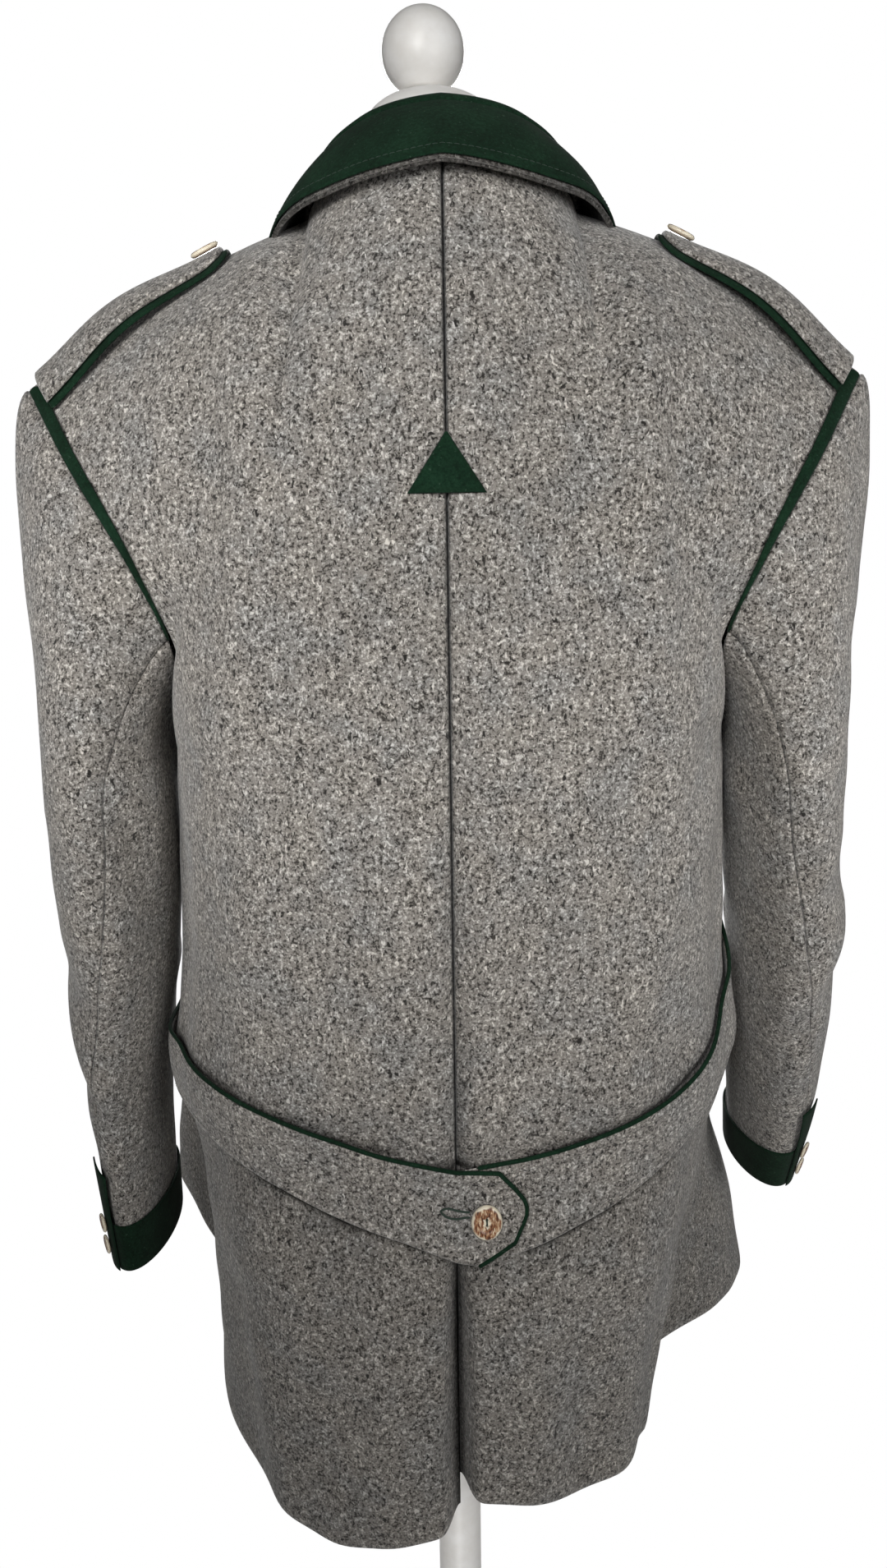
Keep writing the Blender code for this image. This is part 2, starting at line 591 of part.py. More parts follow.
def sleeve_rows(side):
    """Outer sleeve surface from the armhole to the cuff edge."""
    start, _ = armhole_ring(side)
    end = sleeve_ring(side, ARM_TOP)
    share = np.arange(RING) / RING
    at_top = np.cos(2 * math.pi * share)
    at_back = np.sin(2 * math.pi * share)
    leave = unit(np.stack([SIDES[side] * (0.76 + 0.14 * at_top), 0.10 * at_back,
                           -HEAD_DROP[side] + 0.05 * at_top], axis=-1))
    leave_length = HEAD_SWELL[side] * (1 - 0.5 * np.clip(-at_top, 0, 1))
    arrive_length = 0.55 * np.linalg.norm(end - start, axis=-1) + 0.03
    start = start + leave * SEAM_STAND
    rows = [hermite(start, end, leave * leave_length[:, None],
                    np.array([0.0, 0.0, -1.0]) * arrive_length[:, None], np.full(RING, v))
            for v in np.linspace(0.0, 1.0, HEAD_ROWS + 1)]
    for height in np.linspace(ARM_TOP, sleeve_bottom(side), ARM_ROWS + 1)[1:]:
        rows.append(sleeve_ring(side, height))
    return beside_body(side, np.array(rows))


def side_of_body(side):
    """Points over the body's side, from the corner of the back to the front lobe."""
    h = np.concatenate([np.linspace(-1.0, 0.0, 90), np.linspace(0.01, 0.55, 45)])
    back = back_surface(side, *np.meshgrid(np.linspace(0.45, 1.0, 50), h), creased=False)
    front = front_surface(side, *np.meshgrid(np.linspace(0.0, 0.65, 50), h))
    return np.concatenate([back.reshape(-1, 3), front.reshape(-1, 3)])


def beside_body(side, rows):
    """Keep the sleeve's rings clear of the body and the belt that hang beside them."""
    body = side_of_body(side)
    rows = rows.copy()
    for point in rows[1:].reshape(-1, 3):
        apart = np.hypot(body[:, 1] - point[1], body[:, 2] - point[2])
        if apart.min() > 0.006:
            continue
        limit = np.abs(body[np.argmin(apart), 0])
        belt_z = BELT_LINE + BELT_SIDE[side]
        at_belt = smooth((0.060 - abs(point[2] - belt_z)) / 0.020)
        out = limit + SLEEVE_CLEAR + BELT_STACK * at_belt - abs(point[0])
        if out > 0:
            point[0] += SIDES[side] * out
    return rows


def ring_normals(rows, side):
    """Outward normals of rows of closed rings."""
    around = np.roll(rows, -1, axis=1) - np.roll(rows, 1, axis=1)
    down = np.gradient(rows, axis=0)
    return unit(np.cross(around, down)) * SIDES[side] * -1.0


def build_sleeve(side, finish, parent):
    outer = sleeve_rows(side)
    normal = ring_normals(outer, side)
    body_normal = armhole_ring(side)[1]
    alike = np.sum(body_normal * normal[0], axis=-1, keepdims=True)
    share = smooth((alike - 0.3) / 0.5)
    normal[0] = unit(share * body_normal + (1 - share) * normal[0])
    inner = outer - normal * LODEN
    for name, first, last in (("sleeve_top", FRONT_SEAM, HIND_SEAM),
                              ("sleeve_under", HIND_SEAM, RING + FRONT_SEAM)):
        pick = [k % RING for k in range(first, last + 1)]
        edges = dict(first_col=GAP / 2, last_col=GAP / 2)
        wall(f"{name}_{side}", retreat(outer[:, pick], **edges), retreat(inner[:, pick], **edges),
             finish, parent)


def build_cuff(side, finish, parent):
    bottom = sleeve_bottom(side) - 0.001
    heights = np.linspace(bottom + CUFF_HEIGHT, bottom, 3)
    reach = GAP + 0.0008
    inner = np.array([sleeve_ring(side, h, reach) for h in heights])
    outer = np.array([sleeve_ring(side, h, reach + FELT) for h in heights])
    wall(f"cuff_{side}", outer, inner, finish, parent, closed=True)


def build_cuff_band(side, finish, parent):
    """Upright band over the hind seam, standing on the cuff's outer face."""
    bottom = sleeve_bottom(side) - 0.001
    heights = np.linspace(bottom + CUFF_BAND_HEIGHT, bottom, 6)
    reach = 2 * GAP + 0.0012 + FELT
    rows_in, rows_out = [], []
    for height in heights:
        rows_in.append(band_row(side, height, reach))
        rows_out.append(band_row(side, height, reach + FELT))
    wall(f"cuff_band_{side}", rows_out, rows_in, finish, parent)


def band_row(side, height, swell, count=5):
    """Points across the upright band, on the swollen sleeve ring round the hind seam."""
    rows = np.array(sorted(SLEEVES[side]))
    x, y, rx, ry = spline(rows[:, 0], rows[:, 1:], height)
    seam = ring_angles(height)[HIND_SEAM]
    speed = math.hypot(rx * math.sin(seam), ry * math.cos(seam))
    angle = seam + np.linspace(-0.5, 0.5, count) * CUFF_BAND_WIDTH / speed
    return np.stack([x + SIDES[side] * (rx + swell) * np.cos(angle),
                     y + (ry + swell) * np.sin(angle), np.full(count, height)], axis=-1)


# ================================================================ collar

def collar_surface(along, profile):
    """Folding line of the collar: from the stand's base over the roll to the fall's edge."""
    side_sign = np.sign(along) + (along == 0)
    reach = np.abs(along)
    base = half_neckline(reach)
    sizes = np.array(COLLAR)
    stand_out, stand_up, fall_out, fall_down = np.moveaxis(
        spline(sizes[:, 0], sizes[:, 1:], reach), -1, 0)
    step = 1e-3
    ahead = half_neckline(np.clip(reach + step, 0, 1))
    behind = half_neckline(np.clip(reach - step, 0, 1))
    heading = unit((ahead - behind) * np.array([1.0, 1.0, 0.0]))
    out = np.stack([-heading[..., 1], heading[..., 0], np.zeros_like(reach)], axis=-1)
    out = np.where((reach < step)[..., None], np.array([0.0, 1.0, 0.0]), out)
    up = np.array([0.0, 0.0, 1.0])
    forward = reach[..., None]
    start = base + (up * (1 - 0.5 * forward) - out * 0.8 * forward) * COLLAR_STAND_OFF
    roll = base + out * stand_out[..., None] + up * stand_up[..., None]
    edge = roll + out * fall_out[..., None] - up * fall_down[..., None]
    inner_top = roll - out * COLLAR_FOLD / 2
    outer_top = roll + out * COLLAR_FOLD / 2
    low = np.clip(profile / .42, 0, 1)
    mid = np.clip((profile - .42) / .16, 0, 1)
    high = np.clip((profile - .58) / .42, 0, None)
    height = COLLAR_FOLD * 0.5
    stand = hermite(start, inner_top - up * height, up * 0.02, up * 0.02, low)
    arch = mid[..., None] * math.pi
    crown = (roll - up * height) - out * (COLLAR_FOLD / 2) * np.cos(arch) + up * height * np.sin(arch)
    fall_start = outer_top - up * height
    fall = fall_start + (edge - fall_start) * high[..., None]
    bow = (high * (1 - high))[..., None]
    fall = fall + bow * COLLAR_BOW * (out + up)
    point = np.where((profile <= .42)[..., None], stand,
                     np.where((profile <= .58)[..., None], crown, fall))
    return point * np.stack([side_sign, np.ones_like(reach), np.ones_like(reach)], axis=-1)


def build_collar(green, grey, parent):
    along = np.linspace(-1.0, 1.0, COLLAR_ALONG + 1)
    a, p = np.meshgrid(along, COLLAR_PROFILE)
    line = collar_surface(a, p)
    step = 1e-3
    across = collar_surface(np.clip(a + step, -1, 1), p) - collar_surface(np.clip(a - step, -1, 1), p)
    down = collar_surface(a, np.clip(p + step, 0, 1)) - collar_surface(a, np.clip(p - step, 0, 1))
    face = unit(np.cross(across, down))
    wall("collar_top", line + face * (COLLAR_GAP + FELT), line + face * COLLAR_GAP, green, parent)
    lip = unit(line[-1] - line[-2])
    under = line.copy()
    under[-1] += lip * COLLAR_LIP
    wall("collar_under", under, under - face * LODEN, grey, parent)


# ================================================================ shoulder straps
def over_shoulder(side, share, across):
    """Body points on a line across the shoulder seam, back parts at positive distances."""
    h = np.linspace(1.0, 0.70, 60)
    found = []
    for distance in across:
        surface = back_surface if distance >= 0 else front_surface
        u = NECK_SHARE + (1 - NECK_SHARE) * share if distance >= 0 else SHOULDER_SHARE * (1 - share)
        line = surface(side, np.full_like(h, u), h)
        run = np.concatenate([[0.0], np.cumsum(np.linalg.norm(np.diff(line, axis=0), axis=1))])
        found.append([np.interp(abs(distance), run, line[:, k]) for k in range(3)])
    return np.array(found)


def strap_bed(side, share, neck, half):
    """A stiff line across the shoulder just over the body, and its upward normals."""
    widest = (STRAP_WIDTH / 2 + BACKING_SHOWS) * neck
    across = np.linspace(-1.0, 1.0, 25) * widest
    body = over_shoulder(side, share, across + STRAP_BACK)
    bent = np.stack([np.polyval(np.polyfit(across, body[:, k], 2), across) for k in range(3)], axis=-1)
    ahead, behind = [over_shoulder(side, share + step, across + STRAP_BACK) for step in (0.02, -0.02)]
    up = unit(np.cross(np.gradient(bent, axis=0), ahead - behind) * -SIDES[side])
    short = np.max(np.sum((body - bent) * up, axis=-1))
    wanted = np.linspace(-1.0, 1.0, STRAP_COLUMNS) * half * neck
    bed = bent + up * short
    placed = [[np.interp(wanted, across, values[:, k]) for k in range(3)] for values in (bed, up)]
    bed, up = np.moveaxis(np.array(placed), 1, -1)
    return bed, unit(up)


def build_strap(side, grey, green, horn, parent):
    """A stiff strap bridging the shoulder seam, with its green backing below it."""
    shares = np.linspace(STRAP_START, STRAP_END, STRAP_ROWS)
    along = np.linspace(0.0, 1.0, STRAP_ROWS)
    lift = STRAP_SEAT + STRAP_ARCH * np.sin(math.pi * np.clip(along * 1.10 - 0.10, 0, 1)) ** 2
    for name, finish, rise, thick, extra in (("strap_backing", green, 0.0, FELT, BACKING_SHOWS),
                                             ("strap", grey, FELT + GAP, LODEN, 0.0)):
        low, high = [], []
        for k, share in enumerate(shares):
            bed, up = strap_bed(side, share, STRAP_NECK if k == 0 else 1.0, STRAP_WIDTH / 2 + extra)
            low.append(bed + up * (lift[k] + rise))
            high.append(bed + up * (lift[k] + rise + thick))
        wall(f"{name}_{side}", high, low, finish, parent)
    middle = STRAP_COLUMNS // 2
    place = (high[1][middle] + high[0][middle]) / 2
    facing = strap_bed(side, shares[1], 1.0, STRAP_WIDTH / 2)[1][middle]
    build_button(f"strap_button_{side}", place, facing, STRAP_BUTTON, horn, parent, stand=FRONT_SEAT)


# ================================================================ piping, triangle, belt
def build_armhole_piping(side, finish, parent):
    """A flat strip on the back panel along its armhole edge, wide above and narrow below."""
    rises, widths = np.array(ARMHOLE_PIPING).T
    rows_u = []
    for rise, width in zip(rises, widths):
        pair = back_surface(side, np.array([0.90, 1.0]), np.array([rise, rise]))
        per_metre = 0.10 / np.linalg.norm(pair[1] - pair[0])
        rows_u.append(np.linspace(1.0 - width * per_metre, 1.0, 4))
    u = np.array(rows_u)
    h = np.repeat(rises[:, None], 4, axis=1)
    base = on_back(side, u, h)
    face = normals(back_surface, side, u, h)
    outer = retreat(base + face * (PIPING_LIFT + FELT), last_col=0.0010)
    inner = retreat(base + face * PIPING_LIFT, last_col=0.0010)
    wall(f"armhole_piping_{side}", outer, inner, finish, parent)


def back_height(x, z, clearance, creased=False):
    """A point over the back at a distance x from the centre and a height."""
    side = "left" if x >= 0 else "right"
    if z <= ARMPIT:
        alongs = np.linspace(0, SIDE_SEAM, 300)
        line = body_point(side, alongs, np.full_like(alongs, z), creased)
    else:
        us = np.linspace(0, 0.6, 120)
        span = np.linspace(0, 1, 120)
        rows = back_upper(side, us[:, None], span[None, :], creased)
        line = np.array([[np.interp(z, row[:, 2], row[:, 0]), np.interp(z, row[:, 2], row[:, 1]), z]
                         for row in rows])
    y = np.interp(abs(x), np.abs(line[:, 0]), line[:, 1])
    return np.array([x, y + clearance, z])


def build_triangle(finish, parent):
    """Felt triangle over the centre-back seam, point up."""
    top, bottom, half = TRIANGLE_TOP, TRIANGLE_FOOT, TRIANGLE_HALF
    rows_in, rows_out = [], []
    for z in np.linspace(bottom, top - 0.0012, 5):
        reach = half * (top - z) / (top - bottom)
        xs = np.linspace(-reach, reach, 5)
        rows_in.append([back_height(x, z, GAP) for x in xs])
        rows_out.append([back_height(x, z, GAP + FELT) for x in xs])
    wall("back_triangle", rows_out, rows_in, finish, parent)


def belt_place(side, distance, offset, clearance):
    """A point over the belt's own line: a distance from the centre and an offset up."""
    other = "right" if side == "left" else "left"
    use = side if distance >= 0 else other
    along = belt_along(use, abs(distance))
    middle = belt_middle(side, distance) if distance >= 0 else BELT_LINE
    z = middle + offset
    flat = body_point(use, along, z, creased=False)
    step = body_point(use, along + 0.002, z, creased=False) - flat
    rise = body_point(use, along, z + 0.002, creased=False) - flat
    face = unit(np.cross(rise, step)) * SIDES[use]
    return flat + face * clearance, face


def belt_middle(side, distance):
    table = np.array(BELT_RISES[side])
    return BELT_LINE + float(spline(table[:, 0], table[:, 1], distance))


def belt_along(side, distance):
    """Share of the half section that lies a distance from the centre, at the belt line."""
    alongs = np.linspace(0, 0.6, 100)
    line = body_point(side, alongs, np.full_like(alongs, BELT_LINE), creased=False)
    run = np.concatenate([[0.0], np.cumsum(np.linalg.norm(np.diff(line, axis=0), axis=1))])
    return float(np.interp(distance, run, alongs))


def belt_reach(side):
    alongs = np.linspace(0, BELT_END, 100)
    line = body_point(side, alongs, np.full_like(alongs, BELT_LINE), creased=False)
    return float(np.sum(np.linalg.norm(np.diff(line, axis=0), axis=1)))


def belt_stations(side):
    """Distances along a belt piece and the offsets of its two edges at each."""
    table = np.array(BELT_EDGES[side])
    tail = table[table[:, 0] < 0][:, 0]
    reach = np.concatenate([tail, np.linspace(0.0, belt_reach(side), 14)])
    return reach, np.interp(reach, *table[:, :2].T), np.interp(reach, table[:, 0], table[:, 2])


def belt_clearance(side, distance):
    """Height off the back: the left piece climbs over the end of the right one."""
    over = smooth((BELT_OVER - distance) / BELT_CLIMB) if side == "left" else 0.0
    return BELT_LIFT + (LODEN + 2 * GAP) * over


def build_belt(side, grey, green, parent):
    stations, above, below = belt_stations(side)
    rows = []
    for rise in (0.0, LODEN):
        rows.append([[belt_place(side, d, low + (high - low) * t, belt_clearance(side, d) + rise)[0]
                      for t in np.linspace(0, 1, 5)]
                     for d, high, low in zip(stations, above, below)])
    wall(f"belt_{side}", rows[1], rows[0], grey, parent)
    upper = list(zip(stations, above))[::-1]
    if side == "left":
        edge = upper + [(d, low) for d, low in zip(stations, below) if d <= PIPED_TO]
    else:
        edge = [(d, high) for d, high in upper if d > PIPED_FROM]
    build_edge_piping(f"belt_piping_{side}", side, edge, green, parent)


def build_edge_piping(name, side, edge, finish, parent):
    """A green cord along a belt edge: a flat strip that stands just past the edge."""
    path = np.array(edge)
    heading = unit(np.gradient(path, axis=0))
    inward = np.stack([-heading[:, 1], heading[:, 0]], axis=-1)
    rows_low, rows_high = [], []
    for (d, offset), turn in zip(path, inward):
        low, high = [], []
        for across in (0.0, 0.5, 1.0):
            place = (d + turn[0] * across * PIPING_WIDTH, offset + turn[1] * across * PIPING_WIDTH)
            base = belt_clearance(side, place[0]) + LODEN + 2 * GAP
            low.append(belt_place(side, *place, base)[0])
            high.append(belt_place(side, *place, base + FELT)[0])
        rows_low.append(low)
        rows_high.append(high)
    wall(name, rows_high, rows_low, finish, parent)


# ================================================================ dress form and stand
def cloth_underside():
    """Points over the inner faces of the panels from the chest to the shoulder seam."""
    found = []
    for surface, columns in ((back_surface, BACK_COLUMNS), (front_surface, FRONT_COLUMNS)):
        for side in SIDES:
            inner = panel_grid(surface, side, columns)[1][-8:]
            t = np.linspace(0, 1, 9)[:, None, None, None]
            tall = ((1 - t) * inner[:-1] + t * inner[1:]).reshape(-1, inner.shape[1], 3)
            fine = (1 - t) * tall[:, :-1] + t * tall[:, 1:]
            found.append(fine.reshape(-1, 3))
    return np.concatenate(found)


def below_cloth(point, cloth):
    """Lower a form point until it lies just below the cloth that covers it."""
    apart = np.hypot(cloth[:, 0] - point[0], cloth[:, 1] - point[1])
    near = np.argsort(apart)[:5]
    if apart[near[0]] > 0.008:
        return point
    weight = 1.0 / (apart[near] + 1e-5)
    roof = float(np.sum(weight * cloth[near, 2]) / np.sum(weight)) - FORM_SEAT
    return (point[0], point[1], min(point[2], roof))


def build_form(form_white, stand_white, parent):
    rows = np.array(FORM)
    cloth = cloth_underside()
    low, high = rows[1, 0], 1.340
    heights = np.concatenate([rows[:1, 0], np.linspace(low, high, 9), rows[rows[:, 0] > high, 0]])
    bm = bmesh.new()
    rings = []
    for height in heights:
        y, width, depth, power = spline(rows[:, 0], rows[:, 1:], height)
        ring = []
        for k in range(FORM_RING):
            angle = 2 * math.pi * k / FORM_RING
            c, s = math.cos(angle), math.sin(angle)
            reach = (abs(c) ** power + abs(s) ** power) ** (-1 / power)
            point = (width * reach * c, y + depth * reach * s, height)
            ring.append(bm.verts.new(below_cloth(point, cloth) if height > FORM_CARRIES else point))
        rings.append(ring)
    for below, above in zip(rings, rings[1:]):
        for k in range(FORM_RING):
            n = (k + 1) % FORM_RING
            bm.faces.new((below[k], below[n], above[n], above[k]))
    bm.faces.new(rings[0][::-1])
    bm.faces.new(rings[-1])
    bmesh.ops.triangulate(bm, faces=bm.faces)
    bmesh.ops.recalc_face_normals(bm, faces=bm.faces)
    mesh = bpy.data.meshes.new("form_torso")
    bm.to_mesh(mesh)
    bm.free()
    mesh.shade_smooth()
    mesh.set_sharp_from_angle(angle=math.radians(50))
    add_object("form_torso", mesh, form_white, parent)
    cap_foot = NECK_TOP + GAP
    turned("neck_cap", cap_profile(), (*NECK_CENTRE, cap_foot), form_white, parent, steps=28)
    knob_foot = cap_foot + CAP_RIM + CAP_DOME + GAP
    turned("knob", knob_profile(), (NECK_CENTRE[0] + KNOB_ASIDE, NECK_CENTRE[1], knob_foot),
           stand_white, parent, steps=20,
           top=math.sqrt(KNOB_RADIUS**2 - KNOB_SEAT**2) + KNOB_RADIUS)
    turned("pole", [(POLE_RADIUS, rows[0, 0] - GAP), (POLE_RADIUS, BASE_THICKNESS + GAP)],
           (0.0, 0.0, 0.0), stand_white, parent, steps=20)
    turned("base", base_profile(), (0.0, 0.0, 0.0), stand_white, parent, steps=36)


def cap_profile():
    """The neck cap's outline from its small flat crown down: an elliptic dome on a short rim."""
    points = []
    for k in range(1, 7):
        angle = math.pi / 2 * (0.14 + 0.86 * k / 6)
        points.append((CAP_RADIUS * math.sin(angle), CAP_RIM + CAP_DOME * math.cos(angle)))
    flat = CAP_RADIUS * math.sin(math.pi / 2 * 0.14)
    return [(flat, CAP_RIM + CAP_DOME)] + points + [(CAP_RADIUS, 0.0)]


def knob_profile():
    """A ball with a flat seat."""
    sunk = math.sqrt(KNOB_RADIUS**2 - KNOB_SEAT**2)
    last = math.pi - math.asin(KNOB_SEAT / KNOB_RADIUS)
    angles = [last * k / 9 for k in range(1, 10)]
    return [(KNOB_RADIUS * math.sin(a), sunk + KNOB_RADIUS * math.cos(a)) for a in angles]


def base_profile():
    edge = BASE_THICKNESS
    return [(0.060, edge), (BASE_RADIUS - 0.010, edge * 0.62), (BASE_RADIUS - 0.002, edge * 0.40),
            (BASE_RADIUS, edge * 0.20), (BASE_RADIUS - 0.002, 0.0)]


def turned(name, profile, place, finish, parent, steps=32, top=None):
    """A solid of revolution: the profile runs down its outer side."""
    mesh = bpy.data.meshes.new(name)
    bm = bmesh.new()
    crown = profile[0][1] if top is None else top
    outline = [(0.0, crown)] + list(profile) + [(0.0, profile[-1][1])]
    verts = [bm.verts.new((r, 0.0, z)) for r, z in outline]
    for a, b in zip(verts, verts[1:]):
        bm.edges.new((a, b))
    bm.to_mesh(mesh)
    bm.free()
    made = add_object(name, mesh, finish, parent)
    made.location = place
    screw = made.modifiers.new("turn", "SCREW")
    screw.angle = 2 * math.pi
    screw.steps = steps
    screw.render_steps = steps
    screw.use_merge_vertices = True
    screw.merge_threshold = 0.00005
    return made


# ================================================================ buttons
def build_button(name, place, facing, size, finish, parent, stand=BUTTON_SEAT):
    """A horn disc with a dished face, its back at the place and its axis along facing."""
    thick = BUTTON_THICKNESS * size / BUTTON_RADIUS
    profile = [(size * 0.45, thick * 0.80), (size * 0.70, thick), (size * 0.92, thick * 0.82),
               (size, thick * 0.45), (size * 0.80, 0.0)]
    axis = Vector([float(v) for v in facing]).normalized()
    made = turned(name, profile, Vector([float(v) for v in place]) + axis * stand,
                  finish, parent, steps=BUTTON_STEPS)
    made.rotation_mode = "QUATERNION"
    made.rotation_quaternion = axis.to_track_quat("Z", "Y")
    made.scale = (BUTTON_OVAL, 1.0, 1.0)
    return made


def build_buttons(finish, parent):
    distance, offset = BELT_BUTTON
    place, face = belt_place("left", distance, offset, belt_clearance("left", distance) + LODEN)
    build_button("belt_button", place, face, BUTTON_RADIUS, finish, parent)
    for side in SIDES:
        for number, lift in enumerate(CUFF_BUTTONS, 1):
            height = sleeve_bottom(side) + lift
            row = band_row(side, height, 2 * GAP + 0.0012 + 2 * FELT)
            above = band_row(side, height + 0.006, 2 * GAP + 0.0012 + 2 * FELT)
            facing = np.cross(row[-1] - row[0], above[2] - row[2]) * SIDES[side]
            build_button(f"cuff_button_{side}_{number}", row[2], facing, CUFF_BUTTON, finish, parent)
    for number, h in enumerate(FRONT_BUTTONS, 1):
        u = np.array([FRONT_BUTTON_LINE])
        place = front_surface("right", u, np.array([h]))[0]
        facing = normals(front_surface, "right", u, np.array([h]))[0]
        build_button(f"front_button_{number}", place, facing, BUTTON_RADIUS, finish, parent,
                     stand=FRONT_SEAT)


def main():
    for old in list(bpy.data.objects):
        bpy.data.objects.remove(old, do_unlink=True)
    made = bpy.data.collections.new(COLLECTION)
    bpy.context.scene.collection.children.link(made)
    parent = bpy.data.objects.new("jacket_and_form", None)
    made.objects.link(parent)
    grey = material("grey_loden", GREY_LODEN, 0.95)
    green = material("green_cloth", GREEN_CLOTH, 0.90)
    horn = material("horn", HORN, 0.45)
    form_white = material("form_white", FORM_WHITE, 0.60)
    stand_white = material("stand_white", STAND_WHITE, 0.40)
    for side in SIDES:
        build_body(side, grey, parent)
        build_sleeve(side, grey, parent)
        build_cuff(side, green, parent)
        build_cuff_band(side, green, parent)
        build_strap(side, grey, green, horn, parent)
        build_armhole_piping(side, green, parent)
        build_belt(side, grey, green, parent)
    build_collar(green, grey, parent)
    build_triangle(green, parent)
    build_buttons(horn, parent)
    build_form(form_white, stand_white, parent)


main()
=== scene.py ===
# %% [markdown]
# # A Tyrolean loden jacket on a dress form
#
# The jacket's solids come packed, as a fixed frame in metres: +Z is up, the jacket's back
# faces +Y and the wearer's left is +X.  This lesson dresses that frame.  Every cloth piece is
# made again as a finer shell on the form of its solid, with creases, rounded edges and
# sewing, and every surface gets a finish worked out from the real stuff.

# %% Load the frame
import math

import bmesh
import bpy
import numpy as np
from mathutils import Matrix, Vector


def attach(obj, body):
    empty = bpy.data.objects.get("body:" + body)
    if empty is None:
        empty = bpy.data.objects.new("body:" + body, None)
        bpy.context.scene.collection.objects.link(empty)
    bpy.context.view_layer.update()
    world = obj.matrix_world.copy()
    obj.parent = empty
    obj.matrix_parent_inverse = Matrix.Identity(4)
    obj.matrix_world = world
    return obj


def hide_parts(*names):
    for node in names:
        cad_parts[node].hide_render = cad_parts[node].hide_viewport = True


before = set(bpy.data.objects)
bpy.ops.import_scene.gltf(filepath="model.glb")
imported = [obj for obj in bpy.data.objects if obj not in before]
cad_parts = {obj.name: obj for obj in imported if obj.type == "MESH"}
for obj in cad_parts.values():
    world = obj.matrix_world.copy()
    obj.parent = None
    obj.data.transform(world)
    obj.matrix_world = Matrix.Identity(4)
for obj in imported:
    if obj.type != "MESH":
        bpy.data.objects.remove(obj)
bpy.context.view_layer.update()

# %% [markdown]
# ## Colours
#
# A shader works with linear light, while a colour picked from a sample card is written as an
# sRGB hex value.  One function turns one into the other, so that every colour below can be
# read on any colour picker.

# %% Turn a card colour into linear light
def linear(card):
    """A colour written #rrggbb as the linear RGBA that a shader takes."""
    parts = [int(card[k:k + 2], 16) / 255 for k in (1, 3, 5)]
    return [p / 12.92 if p <= 0.04045 else ((p + 0.055) / 1.055) ** 2.4 for p in parts] + [1.0]


print("loden grey in linear light:", np.round(linear("#8a8681"), 3).tolist())

# %% [markdown]
# ## One helper for shader nodes
#
# A material is a small graph.  This helper adds one node: a word that is a setting of the
# node is set, and any other word names one of its inputs, which gets a value or a link.
# Colour stops go on a ramp.

# %% Add a node with its settings and links
def add(tree, kind, stops=(), **given):
    """Add a shader node; given words are its settings or its inputs."""
    made = tree.nodes.new("ShaderNode" + kind)
    for name, value in given.items():
        if name in made.bl_rna.properties:
            setattr(made, name, value)
            continue
        socket = made.inputs[name.replace("_", " ")]
        if isinstance(value, bpy.types.NodeSocket):
            tree.links.new(value, socket)
        else:
            socket.default_value = value
    if stops:
        ramp = made.color_ramp
        while len(ramp.elements) < len(stops):
            ramp.elements.new(1.0)
        for element, (place, card) in zip(ramp.elements, stops):
            element.position = place
            element.color = linear(card)
    return made


def new_finish(name):
    """An empty material with its Principled shader, its graph and its surface coordinates."""
    made = bpy.data.materials.new(name)
    made.use_nodes = True
    tree = made.node_tree
    shader = tree.nodes["Principled BSDF"]
    place = add(tree, "TexCoord").outputs["Object"]
    return made, tree, shader, place


MM = 0.001
print("a pattern of 2 mm has the scale", round(1 / (2 * MM)))

# %% [markdown]
# ## Loden, grey melange
#
# Loden is wool that is woven loose, then fulled in hot water until it shrinks and felts, and
# brushed.  The yarn of this one is spun from undyed cream, grey and near-black fibre, so the
# felted face shows salt-and-pepper tufts of one to two millimetres with no thread to be seen.
# The fibres are far thinner (0.02 mm) than anything that can show, so they are drawn as tufts.
# Three patterns make it: tufts of mixed shades, a few cream and black hairs, and slow drifts
# of warmer and cooler grey where the batch of wool was blended unevenly.  All shades share one
# faint warm tint, because undyed wool varies in lightness much more than in hue.  The face is
# fully matt, and its nap catches a little light at grazing angles, which is what sheen is for.

# %% Loden
TUFT = 1.5 * MM           # a felted tuft of mixed fibre
HAIR = 2.2 * MM           # stray hairs; real ones are too thin to show and are drawn thicker
DRIFT = 30 * MM           # unevenly blended wool


